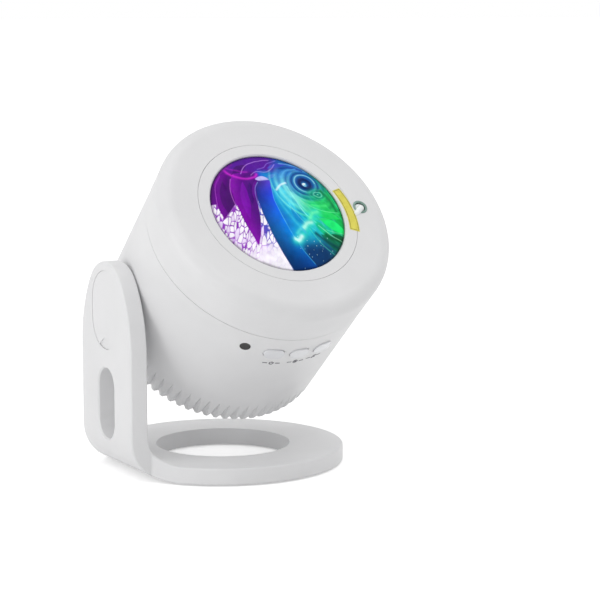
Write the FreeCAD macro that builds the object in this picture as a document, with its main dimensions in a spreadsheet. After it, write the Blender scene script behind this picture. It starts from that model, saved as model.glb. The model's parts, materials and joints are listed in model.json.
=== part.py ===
import FreeCAD, Part

import math
import os
import re

import Sketcher

# Desk and nursery light projector: a drum-shaped lamp head that tilts on one arm of an L-shaped stand.
# Row frame: origin on the floor below the centre of the ring-shaped foot, +Z up, the arm on the -X side,
# and the head leaning towards -Y.
# Head frame: origin where the tilt axis meets the drum's own axis, Z along the drum towards the lens,
# X as in the row frame.

SIZES = {
    # stand
    "base_radius": 66.0,
    "base_top": 9.8,
    "base_hole_radius": 36.7,
    "arm_offset": 69.7,
    "arm_thick": 9.8,
    "arm_width": 62.5,
    "arm_top": 114.0,
    "arch_height": 47.0,
    "arch_crown_radius": 24.0,
    "outer_bend_radius": 22.0,
    "inner_bend_radius": 14.0,
    "stand_edge_round": 1.2,
    "slot_width": 20.0,
    "slot_bottom": 19.0,
    "slot_top": 57.0,
    "slot_chamfer": 0.8,
    "foot_radius": 6.0,
    "foot_circle": 51.0,
    "foot_proud": 0.6,
    "foot_sunk": 1.0,
    # cover plate over the tilt screw, let into the arm's outer face
    "cover_width": 33.0,
    "cover_bottom": 67.0,
    "cover_top": 109.0,
    "cover_thick": 1.7,
    "cover_inset": 0.2,
    "cover_gap": 0.15,
    "thumb_notch_radius": 9.0,
    "thumb_notch_depth": 0.7,
    # tilt joint
    "pivot_height": 90.6,
    "pivot_web": 3.4,
    "pivot_pocket_radius": 12.0,
    "journal_radius": 6.0,
    "running_gap": 0.06,
    "friction_washer_thick": 0.5,
    "friction_washer_radius": 14.0,
    "hub_radius": 15.0,
    "hub_flange_radius": 19.0,
    "hub_flange_thick": 2.4,
    "pressure_washer_thick": 1.0,
    "pressure_washer_radius": 10.5,
    "spring_washer_thick": 0.7,
    "spring_washer_radius": 8.0,
    "spring_washer_rise": 0.3,
    "pivot_screw_radius": 2.0,
    "pivot_screw_length": 12.0,
    "pivot_screw_head_radius": 5.5,
    "pivot_screw_head_height": 2.0,
    "contact_gap": 0.05,
    # head as a whole
    "head_offset": 4.4,
    "tilt_rest": 47.6,
    "rear_reach": 32.0,
    "seam_height": 51.1,
    "seam_gap": 0.4,
    "face_height": 75.5,
    "rim_radius": 64.8,
    "rim_round": 7.2,
    "barrel_front_radius": 64.2,
    "barrel_rear_radius": 62.9,
    "shell_wall": 2.4,
    "shell_gap": 0.1,
    # ribbed rear corner
    "rear_corner_radius": 8.0,
    "rib_count": 72.0,
    "rib_reach": 19.0,
    "rib_depth": 1.7,
    "rib_groove_width": 3.7,
    # inner flange at the front of the shell
    "front_flange_radius": 49.0,
    "front_flange_thick": 2.0,
    "case_screw_circle": 53.0,
    "case_screw_radius": 1.5,
    "case_screw_head_radius": 2.9,
    "case_screw_head_height": 1.8,
    "case_screw_grip": 10.0,
    "case_boss_radius": 3.4,
    "screw_clearance": 0.25,
    # rear cover and speaker
    "rear_cover_radius": 51.6,
    "rear_cover_thick": 2.0,
    "rear_cover_inset": 0.3,
    "rear_ledge_width": 4.0,
    "rear_ledge_thick": 2.2,
    "rear_screw_circle": 45.0,
    "rear_boss_height": 11.0,
    "grille_slot_count": 20.0,
    "grille_slot_width": 2.0,
    "grille_inner_radius": 8.0,
    "grille_outer_radius": 21.0,
    "speaker_radius": 26.0,
    "speaker_flange_thick": 1.4,
    "speaker_depth": 13.0,
    "speaker_sheet": 1.0,
    "speaker_magnet_radius": 14.0,
    "speaker_magnet_height": 7.0,
    # charging socket on the rear cover
    "socket_width": 8.9,
    "socket_height": 3.2,
    "socket_depth": 7.0,
    "socket_wall": 0.35,
    "socket_place": 35.0,
    "power_board_width": 24.0,
    "power_board_length": 13.0,
    "board_thick": 1.6,
    # lens end
    "opening_radius": 37.6,
    "lens_ring_radius": 44.2,
    "lens_ring_thick": 3.1,
    "lens_thick": 1.9,
    "lens_edge_drop": 1.2,
    "lens_dome_rise": 3.0,
    "lens_dome_thick": 3.0,
    "lens_skirt_thick": 2.0,
    "lens_skirt_radius": 36.9,
    "ledge_radius": 40.0,
    "ledge_thick": 2.2,
    # laser
    "laser_place": 49.3,
    "laser_hole_radius": 3.2,
    "laser_barrel_radius": 3.6,
    "laser_boss_radius": 4.8,
    "laser_boss_length": 9.0,
    "laser_window_thick": 1.2,
    # turning wave wheel and its drive
    "gear_module": 1.0,
    "wheel_teeth": 72.0,
    "pinion_teeth": 12.0,
    "gear_face": 4.0,
    "gear_backlash": 0.12,
    "collar_radius": 33.5,
    "collar_wall": 2.5,
    "wheel_height": 57.5,
    "wheel_disc_thick": 2.0,
    "wheel_disc_radius": 35.9,
    "wheel_lift": 0.1,
    "wheel_ripple_count": 5.0,
    "wheel_ripple_depth": 0.7,
    "motor_radius": 10.0,
    "motor_length": 17.0,
    "motor_shaft_radius": 1.5,
    "motor_shaft_seat": 4.0,
    "chassis_thick": 2.0,
    "chassis_gap": 0.1,
    "leg_circle": 35.5,
    "leg_radius": 3.0,
    # light engine
    "sink_radius": 39.0,
    "sink_base_thick": 2.0,
    "sink_top": 31.4,
    "fin_depth": 13.0,
    "fin_thick": 1.6,
    "fin_pitch": 5.6,
    "fin_span": 21.0,
    "led_board_radius": 20.0,
    "led_circle": 7.5,
    "led_side": 5.0,
    "led_height": 1.4,
    "cup_foot_radius": 15.0,
    "cup_wall": 1.2,
    # keys and control board
    "key_angle": -87.0,
    "key_pitch": 14.6,
    "key_height": 38.5,
    "key_width": 11.0,
    "key_length": 7.0,
    "key_proud": 0.9,
    "key_gap": 0.25,
    "key_flange": 0.8,
    "key_root": 57.4,
    "key_travel": 0.8,
    "board_face": 52.9,
    "board_width": 46.0,
    "board_length": 24.0,
    "board_center": 35.5,
    "board_post_radius": 2.2,
    "board_post_inset": 3.2,
    "switch_side": 6.0,
    "switch_height": 2.9,
    "switch_stem_radius": 1.7,
    # remote receiver window
    "window_angle": -114.9,
    "window_height": 40.1,
    "window_radius": 2.8,
    "window_flange": 1.0,
    "window_depth": 1.6,
}

document = FreeCAD.newDocument("projector")
sheet = document.addObject("Spreadsheet::Sheet", "sizes")
for row, (alias, number) in enumerate(SIZES.items(), start=1):
    sheet.set(f"A{row}", alias)
    sheet.set(f"B{row}", str(number))
    sheet.setAlias(f"B{row}", alias)
document.recompute()

PARTS = {}


# Formulas and the sheet

def value(formula):
    """Number that a formula of sheet names comes to."""
    return float(sheet.evalExpression(str(formula)))


def linked(formula):
    """The same formula with every size pointing at the sheet."""
    return re.sub(r"[a-z][a-z_]*", lambda m: f"sizes.{m[0]}" if m[0] in SIZES else m[0], str(formula))


def bind(thing, **formulas):
    """Ties properties to formulas; a double underscore stands for a dot."""
    for name, formula in formulas.items():
        thing.setExpression(name.replace("__", "."), linked(formula))


# Sub-part placement

def keep(node, thing, in_head=False):
    """Registers a finished sub-part under its node name."""
    thing.Label = node
    if in_head:
        thing.Placement = FreeCAD.Placement(
            FreeCAD.Vector(value("head_offset"), 0, value("pivot_height")),
            FreeCAD.Rotation(FreeCAD.Vector(1, 0, 0), value("tilt_rest")))
        bind(thing, Placement__Base__x="head_offset", Placement__Base__z="pivot_height",
             Placement__Rotation__Angle="tilt_rest")
    PARTS[node] = thing
    return thing


# Sketch and feature helpers

def new_body(name):
    return document.addObject("PartDesign::Body", f"{name}_body")


def sketch_on(body, role, lift="0"):
    """Empty sketch on one of the body's own planes, lifted along the plane's normal."""
    sketch = body.newObject("Sketcher::SketchObject", "outline")
    plane = next(item for item in body.Origin.OriginFeatures if item.Role == role)
    sketch.AttachmentSupport = [(plane, "")]
    sketch.MapMode = "FlatFace"
    bind(sketch, AttachmentOffset__Base__z=lift)
    return sketch


def fix(sketch, kind, geometry, point, formula):
    """One named distance from the origin, or a radius, bound to a formula."""
    if kind == "Radius":
        index = sketch.addConstraint(Sketcher.Constraint(kind, geometry, value(formula)))
    else:
        index = sketch.addConstraint(Sketcher.Constraint(kind, -1, 1, geometry, point, value(formula)))
    name = f"{kind}{geometry}_{point}"
    sketch.renameConstraint(index, name)
    sketch.setExpression(f"Constraints.{name}", linked(formula))


def arc_between(start, end, radius, turn):
    """Short arc from start to end; turn is 1 for counterclockwise, -1 for clockwise."""
    chord = end - start
    middle = (start + end) * 0.5
    rise = math.sqrt(max(radius ** 2 - (chord.Length / 2) ** 2, 0))
    normal = FreeCAD.Vector(-chord.y, chord.x, 0).normalize()
    center = middle + normal * rise * turn
    circle = Part.Circle(center, FreeCAD.Vector(0, 0, 1), radius)
    first, last = (start, end) if turn > 0 else (end, start)
    angles = [math.atan2(point.y - center.y, point.x - center.x) for point in (first, last)]
    if angles[1] < angles[0]:
        angles[1] += 2 * math.pi
    return Part.ArcOfCircle(circle, *angles)


def outline(sketch, *steps):
    """Closed outline through corner formulas (x, y); (x, y, radius, turn) reaches the corner by an arc."""
    corners = [FreeCAD.Vector(value(step[0]), value(step[1]), 0) for step in steps]
    ends = []
    for index, step in enumerate(steps):
        start, end = corners[index - 1], corners[index]
        if len(step) == 2:
            number = sketch.addGeometry(Part.LineSegment(start, end))
            ends.append((number, 1, 2))
        else:
            number = sketch.addGeometry(arc_between(start, end, value(step[2]), step[3]))
            ends.append((number, 1, 2) if step[3] > 0 else (number, 2, 1))
    for index, step in enumerate(steps):
        number, first, last = ends[index]
        follower = ends[(index + 1) % len(ends)]
        sketch.addConstraint(Sketcher.Constraint("Coincident", number, last, follower[0], follower[1]))
        fix(sketch, "DistanceX", number, last, step[0])
        fix(sketch, "DistanceY", number, last, step[1])
        if len(step) == 4:
            fix(sketch, "Radius", number, 0, step[2])


def circle_at(sketch, x, y, radius):
    number = sketch.addGeometry(
        Part.Circle(FreeCAD.Vector(value(x), value(y), 0), FreeCAD.Vector(0, 0, 1), value(radius)))
    fix(sketch, "DistanceX", number, 3, x)
    fix(sketch, "DistanceY", number, 3, y)
    fix(sketch, "Radius", number, 0, radius)


def box_at(sketch, x, y, width, height):
    left, right = f"({x})-({width})/2", f"({x})+({width})/2"
    low, high = f"({y})-({height})/2", f"({y})+({height})/2"
    outline(sketch, (left, low), (right, low), (right, high), (left, high))


def obround(sketch, x, low, high, width):
    """Upright slot outline from low to high with round ends."""
    radius = f"({width})/2"
    size, middle = value(radius), value(x)
    bottom = FreeCAD.Vector(middle, value(low) + size, 0)
    top = FreeCAD.Vector(middle, value(high) - size, 0)
    side = FreeCAD.Vector(size, 0, 0)
    axis = FreeCAD.Vector(0, 0, 1)
    upper = sketch.addGeometry(Part.ArcOfCircle(Part.Circle(top, axis, size), 0, math.pi))
    left = sketch.addGeometry(Part.LineSegment(top - side, bottom - side))
    lower = sketch.addGeometry(Part.ArcOfCircle(Part.Circle(bottom, axis, size), math.pi, 2 * math.pi))
    right = sketch.addGeometry(Part.LineSegment(bottom + side, top + side))
    for first, second in ((upper, left), (left, lower), (lower, right), (right, upper)):
        sketch.addConstraint(Sketcher.Constraint("Tangent", first, 2, second, 1))
    sketch.addConstraint(Sketcher.Constraint("Equal", upper, lower))
    for number, height in ((upper, f"({high})-{radius}"), (lower, f"({low})+{radius}")):
        fix(sketch, "DistanceX", number, 3, x)
        fix(sketch, "DistanceY", number, 3, height)
    fix(sketch, "Radius", upper, 0, radius)


def pad(body, sketch, length, side="One side", reverse=False):
    feature = body.newObject("PartDesign::Pad", "pad")
    feature.Profile = sketch
    feature.SideType = side
    feature.Reversed = reverse
    bind(feature, Length=length)
    document.recompute()
    return feature


def pocket(body, sketch, length=None, side="One side", reverse=False):
    """Cuts a sketch out of the body, right through where no length is given."""
    before = body.Shape.Volume
    feature = body.newObject("PartDesign::Pocket", "pocket")
    feature.Profile = sketch
    feature.SideType = side
    feature.Reversed = reverse
    if length is None:
        feature.Type = "ThroughAll"
    else:
        bind(feature, Length=length)
    document.recompute()
    if body.Shape.Volume >= before:
        raise RuntimeError(f"a pocket of {body.Name} cuts nothing")
    return feature


def revolve(body, *steps, axis="V_Axis"):
    """Full turn of an outline drawn in the XZ plane."""
    sketch = sketch_on(body, "XZ_Plane")
    outline(sketch, *steps)
    feature = body.newObject("PartDesign::Revolution", "turning")
    feature.Profile = sketch
    feature.ReferenceAxis = (sketch, [axis])
    feature.Angle = 360
    document.recompute()
    return feature


def polar(body, features, count):
    """Repeats features evenly about the body's Z axis."""
    pattern = body.newObject("PartDesign::PolarPattern", "round_pattern")
    axis = next(item for item in body.Origin.OriginFeatures if item.Role == "Z_Axis")
    pattern.Originals = features
    pattern.Axis = (axis, [""])
    pattern.Angle = 360
    bind(pattern, Occurrences=count)
    body.Tip = pattern
    document.recompute()
    return pattern


def edges_where(feature, test):
    return [f"Edge{number}" for number, edge in enumerate(feature.Shape.Edges, start=1) if test(edge)]


def dress(body, kind, base, names, **size):
    """Fillet or Chamfer on named edges."""
    feature = body.newObject(f"PartDesign::{kind}", kind.lower())
    feature.Base = (base, names)
    bind(feature, **size)
    body.Tip = feature
    document.recompute()
    return feature


def solid(kind, place=("0", "0", "0"), turn=None, **size):
    """Bound Part primitive; place is three formulas, turn is (axis, angle formula)."""
    thing = document.addObject(f"Part::{kind}", kind.lower())
    if turn:
        thing.Placement = FreeCAD.Placement(
            FreeCAD.Vector(), FreeCAD.Rotation(FreeCAD.Vector(*turn[0]), value(turn[1])))
        bind(thing, Placement__Rotation__Angle=turn[1])
    bind(thing, **size)
    for letter, formula in zip("xyz", place):
        bind(thing, **{f"Placement__Base__{letter}": formula})
    return thing


def join(*things):
    fused = document.addObject("Part::MultiFuse", "joined")
    fused.Shapes = list(things)
    return fused


def cut(base, *tools):
    difference = document.addObject("Part::Cut", "difference")
    difference.Base = base
    difference.Tool = tools[0] if len(tools) == 1 else join(*tools)
    return difference


def common(first, second):
    overlap = document.addObject("Part::Common", "overlap")
    overlap.Base = first
    overlap.Tool = second
    return overlap


def fixed_shape(name, shape):
    """Part::Feature for a form that no bound feature fits."""
    thing = document.addObject("Part::Feature", name)
    thing.Shape = shape
    return thing


def around(circle, *angles):
    """Points on a circle about the head's axis, as formula pairs."""
    return [(f"({circle})*cos({angle})", f"({circle})*sin({angle})") for angle in angles]


# Shared places, as formulas

ARM_INNER = "arm_offset-arm_thick"
LOCAL_ARM_INNER = "(arm_offset-arm_thick+head_offset)"
COVER_FLOOR = "(cover_thick+cover_inset)"
SPLIT = "(seam_height+chassis_thick)"
LENS_SEAT = "(face_height-lens_ring_thick-lens_thick-shell_gap)"
COLLAR_TOP = "(wheel_height+gear_face)"
SINK_BOTTOM = "(sink_top-sink_base_thick)"
REAR_INNER = "(rear_cover_thick+rear_cover_inset-rear_reach)"
GEAR_CENTERS = "(gear_module*(wheel_teeth+pinion_teeth)/2)"
CASE_ANGLES = (45, 135, 225, 315)
REAR_ANGLES = (20, 160, 200, 340)
LEG_ANGLES = (90, 210, 330)


# Stand: one L-shaped moulding with a ring foot, a hanging slot and a seat for the tilt joint

def stand_bracket():
    body = new_body("stand")
    profile = sketch_on(body, "XZ_Plane")
    outline(profile,
            ("-arm_offset", "arm_top"),
            ("-arm_offset", "foot_proud+outer_bend_radius"),
            ("outer_bend_radius-arm_offset", "foot_proud", "outer_bend_radius", 1),
            ("base_radius", "foot_proud"),
            ("base_radius", "base_top"),
            (f"inner_bend_radius-({ARM_INNER})", "base_top"),
            (f"-({ARM_INNER})", "base_top+inner_bend_radius", "inner_bend_radius", -1),
            (f"-({ARM_INNER})", "arm_top"))
    pad(body, profile, "2*base_radius", "Symmetric")

    beyond = "base_radius+arm_offset"
    wing = "-sqrt(base_radius^2-(arm_width/2)^2)"
    plan = sketch_on(body, "XY_Plane")
    outline(plan, (f"-({beyond})", f"-({beyond})"), (beyond, f"-({beyond})"), (beyond, beyond),
            (f"-({beyond})", beyond))
    outline(plan,
            ("-arm_offset-arm_thick", "-arm_width/2"),
            (wing, "-arm_width/2"),
            ("base_radius", "0", "base_radius", 1),
            (wing, "arm_width/2", "base_radius", 1),
            ("-arm_offset-arm_thick", "arm_width/2"))
    pocket(body, plan, reverse=True)

    half = "arm_width/2"
    side_radius = (f"(({half})^2+arch_height^2-2*arch_height*arch_crown_radius)"
                   f"/(2*({half}-arch_crown_radius))")
    share = f"({side_radius})/(({side_radius})-arch_crown_radius)"
    join_y = f"({half}-({side_radius}))*(1-({share}))"
    join_z = f"arm_top-arch_height+({share})*(arch_height-arch_crown_radius)"
    arch_base = "arm_top-arch_height"
    outside = "arm_width"
    arch = sketch_on(body, "YZ_Plane")
    outline(arch,
            (f"-{outside}", arch_base),
            (f"-({half})", arch_base),
            (f"-({join_y})", join_z, side_radius, -1),
            ("0", "arm_top", "arch_crown_radius", -1),
            (join_y, join_z, "arch_crown_radius", -1),
            (half, arch_base, side_radius, -1),
            (outside, arch_base),
            (outside, f"arm_top+{outside}"),
            (f"-{outside}", f"arm_top+{outside}"))
    shaped = pocket(body, arch, side="Symmetric")

    def outer_rim(edge):
        straight = edge.Curve.TypeId == "Part::GeomLine"
        return not straight or abs(edge.Curve.Direction.z) > 0.99

    dress(body, "Fillet", shaped, edges_where(shaped, outer_rim), Radius="stand_edge_round")

    hole = sketch_on(body, "XY_Plane")
    circle_at(hole, "0", "0", "base_hole_radius")
    pocket(body, hole, reverse=True)

    slot = sketch_on(body, "YZ_Plane")
    obround(slot, "0", "slot_bottom", "slot_top", "slot_width")
    slotted = pocket(body, slot, reverse=False)
    slot_mouth = edges_where(slotted, lambda edge: (
        edge.CenterOfMass.x < -value("arm_offset") + 0.5
        and abs(edge.CenterOfMass.y) < value("slot_width") * 0.55
        and edge.BoundBox.ZMax < value("slot_top") + 0.1 and edge.BoundBox.ZMin > value("slot_bottom") + 4))
    if slot_mouth:
        dress(body, "Chamfer", slotted, slot_mouth, Size="slot_chamfer")

    recess = sketch_on(body, "YZ_Plane", f"-arm_offset+{COVER_FLOOR}")
    obround(recess, "0", "cover_bottom", "cover_top", "cover_width")
    pocket(body, recess)

    well = sketch_on(body, "YZ_Plane", f"-({ARM_INNER})-pivot_web")
    circle_at(well, "0", "pivot_height", "pivot_pocket_radius")
    pocket(body, well)

    bore = sketch_on(body, "YZ_Plane")
    circle_at(bore, "0", "pivot_height", "journal_radius+running_gap")
    pocket(body, bore)

    seats = sketch_on(body, "XY_Plane", "foot_proud+foot_sunk")
    for x, y in around("foot_circle", 45, 135, 225, 315):
        circle_at(seats, x, y, "foot_radius+shell_gap")
    pocket(body, seats)
    keep("stand_bracket", body)


def rubber_feet():
    body = new_body("feet")
    sketch = sketch_on(body, "XY_Plane")
    for x, y in around("foot_circle", 45, 135, 225, 315):
        circle_at(sketch, x, y, "foot_radius")
    pads = pad(body, sketch, "foot_proud+foot_sunk")
    rims = edges_where(pads, lambda edge: edge.BoundBox.ZMax < 0.01)
    dress(body, "Chamfer", pads, rims, Size="foot_proud/2")
    keep("rubber_feet", body)


def arm_cover():
    """Cover plate with round ends and a thumb notch at its lower end."""
    body = new_body("cover")
    plate = sketch_on(body, "YZ_Plane", f"-arm_offset+{COVER_FLOOR}")
    obround(plate, "0", "cover_bottom+cover_gap", "cover_top-cover_gap", "cover_width-2*cover_gap")
    pad(body, plate, "cover_thick", reverse=True)
    notch = sketch_on(body, "YZ_Plane", "cover_inset+thumb_notch_depth-arm_offset")
    circle_at(notch, "0", "cover_bottom-thumb_notch_radius/3", "thumb_notch_radius")
    pocket(body, notch)
    keep("arm_cover", body)


# Tilt joint

def turned_on_tilt_axis(node, in_head, *steps):
    """Turned piece on the tilt axis; steps are (distance from the drum's axis towards the arm, radius)."""
    body = new_body(node)
    revolve(body, *((f"-({away})",) + tuple(rest) for away, *rest in steps), axis="H_Axis")
    keep(node, body, in_head=in_head)
    return body


def tilt_joint():
    face = f"({LOCAL_ARM_INNER}-friction_washer_thick-contact_gap)"
    flange = "(sqrt((barrel_rear_radius-shell_wall)^2-hub_flange_radius^2)-contact_gap*5)"
    tip = f"({LOCAL_ARM_INNER}+pivot_web-contact_gap)"
    hole = "pivot_screw_radius"
    turned_on_tilt_axis(
        "pivot_hub", True,
        (f"{flange}-hub_flange_thick", "0"),
        (f"{tip}-pivot_screw_length-contact_gap", "0"),
        (f"{tip}-pivot_screw_length-contact_gap", hole),
        (tip, hole),
        (tip, "journal_radius"),
        (face, "journal_radius"),
        (face, "hub_radius"),
        (flange, "hub_radius"),
        (flange, "hub_flange_radius"),
        (f"{flange}-hub_flange_thick", "hub_flange_radius"))

    washer = new_body("friction_washer")
    sketch = sketch_on(washer, "YZ_Plane", f"-({ARM_INNER})")
    circle_at(sketch, "0", "pivot_height", "friction_washer_radius")
    circle_at(sketch, "0", "pivot_height", "journal_radius+running_gap")
    pad(washer, sketch, "friction_washer_thick")
    keep("friction_washer", washer)

    web = f"({LOCAL_ARM_INNER}+pivot_web)"
    plate = f"({web}+contact_gap)"
    plate_end = f"({plate}+pressure_washer_thick)"
    inner = "pivot_screw_radius+contact_gap"
    turned_on_tilt_axis("pressure_washer", True, (plate, inner), (plate_end, inner),
                        (plate_end, "pressure_washer_radius"), (plate, "pressure_washer_radius"))
    turned_on_tilt_axis("spring_washer", True,
                        (f"{plate_end}+spring_washer_rise", inner),
                        (f"{plate_end}+spring_washer_rise+spring_washer_thick", inner),
                        (f"{plate_end}+spring_washer_thick", "spring_washer_radius"),
                        (plate_end, "spring_washer_radius"))
    head = f"({plate_end}+spring_washer_rise+spring_washer_thick)"
    screw = turned_on_tilt_axis("pivot_screw", True,
                                (f"{tip}-pivot_screw_length", "0"),
                                (f"{tip}-pivot_screw_length", "pivot_screw_radius"),
                                (head, "pivot_screw_radius"),
                                (head, "pivot_screw_head_radius"),
                                (f"{head}+pivot_screw_head_height", "pivot_screw_head_radius"),
                                (f"{head}+pivot_screw_head_height", "0"))
    drive = sketch_on(screw, "YZ_Plane", f"-({head}+pivot_screw_head_height/2)")
    box_at(drive, "0", "0", "pivot_screw_head_radius*1.2", "pivot_screw_radius*0.5")
    pocket(screw, drive)
    cross = sketch_on(screw, "YZ_Plane", f"-({head}+pivot_screw_head_height/2)")
    box_at(cross, "0", "0", "pivot_screw_radius*0.5", "pivot_screw_head_radius*1.2")
    pocket(screw, cross)


# Main shell: slightly tapered drum with a ribbed rear corner

def corner_start():
    return value("rear_corner_radius") - value("rear_reach")


def rib_groove():
    """One V-shaped groove that starts shallow on the drum and follows the rear corner round."""
    corner, radius = value("rear_corner_radius"), value("barrel_rear_radius")
    start = corner_start()
    front = value("rib_reach") - value("rear_reach")
    depth, width = value("rib_depth"), value("rib_groove_width")
    stations = [(radius, front, 0.0, 0.02), (radius, (front + start) / 2, 0.0, 0.75), (radius, start, 0.0, 1.0)]
    for degrees in (40, 78):
        angle = math.radians(degrees)
        stations.append((radius - corner + corner * math.cos(angle), start - corner * math.sin(angle),
                         angle, 1.0))
    wires = []
    for reach, height, lean, share in stations:
        outward = FreeCAD.Vector(math.cos(lean), 0, -math.sin(lean))
        surface = FreeCAD.Vector(reach, 0, height)
        bottom = surface - outward * depth * share
        top = surface + outward * depth * 0.5
        side = FreeCAD.Vector(0, width * share * 0.75 * reach / radius, 0)
        wires.append(Part.makePolygon([bottom, top + side, top - side, bottom]))
    return Part.makeLoft(wires, True, True)


def rib_grooves():
    count = int(value("rib_count"))
    groove = rib_groove()
    copies = []
    for index in range(count):
        copy = groove.copy()
        copy.rotate(FreeCAD.Vector(), FreeCAD.Vector(0, 0, 1), 360 * index / count)
        copies.append(copy)
    return fixed_shape("rib_grooves", Part.makeCompound(copies))


def radial(kind, angle, across, height, out, **size):
    """Primitive whose own Z points out of the drum at an angle name, at (across, height, out) there."""
    place = (f"({out})*cos({angle})-({across})*sin({angle})",
             f"({out})*sin({angle})+({across})*cos({angle})", height)
    thing = solid(kind, place, **size)
    facing = FreeCAD.Rotation(FreeCAD.Vector(0, 0, 1), value(angle)).multiply(
        FreeCAD.Rotation(FreeCAD.Vector(0, 1, 0), 90))
    thing.Placement = FreeCAD.Placement(thing.Placement.Base, facing)
    return thing


def toward_keys(kind, across, height, out, **size):
    return radial(kind, "key_angle", across, height, out, **size)


def key_block(across, low, high, grow):
    """Pill-shaped block along the keys' travel, grown on every side by a clearance or flange."""
    radius = f"key_length/2+{grow}"
    offset = "(key_width-key_length)/2"
    pieces = []
    for sign in ("-", "+"):
        pieces.append(toward_keys("Cylinder", f"{across}{sign}{offset}", "key_height", low,
                                  Radius=radius, Height=f"({high})-({low})"))
    middle = toward_keys("Box", f"{across}-{offset}", f"key_height+{radius}", low,
                         Length=f"2*({radius})", Width=f"2*{offset}", Height=f"({high})-({low})")
    return join(*pieces, middle)


def board_corners():
    """Places (across, height) of the control board's four posts."""
    return [(f"{side}(board_width/2-board_post_inset)", f"board_center{end}(board_length/2-board_post_inset)")
            for side in "-+" for end in "-+"]


def key_places():
    return {"power_key": "-key_pitch", "light_key": "0", "music_key": "key_pitch"}


def main_shell():
    body = new_body("shell")
    inner_front = "barrel_front_radius-shell_wall"
    inner_rear = "barrel_rear_radius-shell_wall"
    mouth = "rear_cover_radius+shell_gap"
    seat = f"({REAR_INNER})"
    ledge = f"{mouth}-rear_ledge_width"
    turned = revolve(
        body,
        ("barrel_front_radius", "seam_height"),
        ("front_flange_radius", "seam_height"),
        ("front_flange_radius", "seam_height-front_flange_thick"),
        (inner_front, "seam_height-front_flange_thick"),
        (inner_rear, "rear_corner_radius-rear_reach"),
        ("barrel_rear_radius-rear_corner_radius", f"{seat}+rear_ledge_thick"),
        (ledge, f"{seat}+rear_ledge_thick"),
        (ledge, seat),
        (mouth, seat),
        (mouth, "-rear_reach"),
        ("barrel_rear_radius-rear_corner_radius", "-rear_reach"),
        ("barrel_rear_radius", "rear_corner_radius-rear_reach", "rear_corner_radius", 1))
    bosses = sketch_on(body, "XY_Plane", seat)
    for x, y in around("rear_screw_circle", *REAR_ANGLES):
        circle_at(bosses, x, y, "case_boss_radius")
    pad(body, bosses, "rear_boss_height")
    threads = sketch_on(body, "XY_Plane", seat)
    for x, y in around("rear_screw_circle", *REAR_ANGLES):
        circle_at(threads, x, y, "case_screw_radius")
    pocket(body, threads, "rear_boss_height-shell_wall/2", reverse=True)
    passes = sketch_on(body, "XY_Plane", "seam_height")
    for x, y in around("case_screw_circle", *CASE_ANGLES):
        circle_at(passes, x, y, "case_screw_radius+screw_clearance")
    circle_at(passes, f"-{GEAR_CENTERS}", "0", "motor_radius+3*shell_gap")
    pocket(body, passes, "front_flange_thick+shell_gap")

    posts = []
    for across, height in board_corners():
        reach = f"sqrt(({inner_rear})^2-({across})^2)+shell_wall/2"
        posts.append(toward_keys("Cylinder", across, height, "board_face",
                                 Radius="board_post_radius", Height=f"{reach}-board_face"))
    openings = [key_block(across, "board_face+switch_height", "rim_radius+key_proud", "key_gap")
                for across in key_places().values()]
    window = radial("Cylinder", "window_angle", "0", "window_height", "barrel_rear_radius-rear_corner_radius",
                    Radius="window_radius+shell_gap", Height="rim_radius")
    hub_hole = solid("Cylinder", turn=((0, 1, 0), "-90"), Radius="hub_radius+shell_gap", Height="rim_radius")
    shell = cut(join(body, *posts), rib_grooves(), hub_hole, window, *openings)
    return keep("main_shell", shell, in_head=True)


# Front bezel with the lens seat, four screw posts and the laser sleeve

def front_bezel():
    body = new_body("bezel")
    skirt = "barrel_front_radius+shell_gap"
    shoulder = "face_height-rim_round"
    recess = "lens_ring_radius+2*shell_gap"
    inner_wall = f"{recess}+shell_wall"
    revolve(
        body,
        (skirt, "seam_height+seam_gap"),
        ("rim_radius", shoulder),
        ("rim_radius-rim_round", "face_height", "rim_round", 1),
        (recess, "face_height"),
        (recess, LENS_SEAT),
        ("ledge_radius", LENS_SEAT),
        ("ledge_radius", f"{LENS_SEAT}-ledge_thick"),
        (inner_wall, f"{LENS_SEAT}-ledge_thick"),
        (inner_wall, "face_height-shell_wall"),
        ("rim_radius-rim_round", "face_height-shell_wall"),
        ("rim_radius-shell_wall", shoulder, "rim_round-shell_wall", -1),
        (f"{skirt}-shell_wall", "seam_height+seam_gap"))
    posts = sketch_on(body, "XY_Plane", SPLIT)
    for x, y in around("case_screw_circle", *CASE_ANGLES):
        circle_at(posts, x, y, "case_boss_radius")
    pad(body, posts, f"face_height-shell_wall/2-{SPLIT}")
    sleeve = sketch_on(body, "XY_Plane", "face_height-shell_wall/2")
    circle_at(sleeve, "laser_place", "0", "laser_boss_radius")
    pad(body, sleeve, "laser_boss_length", reverse=True)
    threads = sketch_on(body, "XY_Plane", SPLIT)
    for x, y in around("case_screw_circle", *CASE_ANGLES):
        circle_at(threads, x, y, "case_screw_radius")
    pocket(body, threads, "case_screw_grip", reverse=True)
    bore = sketch_on(body, "XY_Plane", "face_height-laser_window_thick")
    circle_at(bore, "laser_place", "0", "laser_barrel_radius+contact_gap")
    pocket(body, bore, "laser_boss_length+shell_wall")
    aperture = sketch_on(body, "XY_Plane", "face_height")
    circle_at(aperture, "laser_place", "0", "laser_hole_radius")
    pocket(body, aperture, "laser_window_thick+shell_gap")
    keep("front_bezel", body, in_head=True)


def lens_ring():
    body = new_body("ring")
    low = "face_height-lens_ring_thick"
    turned = revolve(body, ("opening_radius", low), ("lens_ring_radius", low),
                     ("lens_ring_radius", "face_height"), ("opening_radius", "face_height"))
    inner = edges_where(turned, lambda edge: (
        edge.BoundBox.ZMin > value("face_height") - 0.01 and edge.BoundBox.XMax < value("opening_radius") + 1))
    dress(body, "Chamfer", turned, inner, Size="shell_wall/4")
    keep("lens_ring", body, in_head=True)


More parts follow.
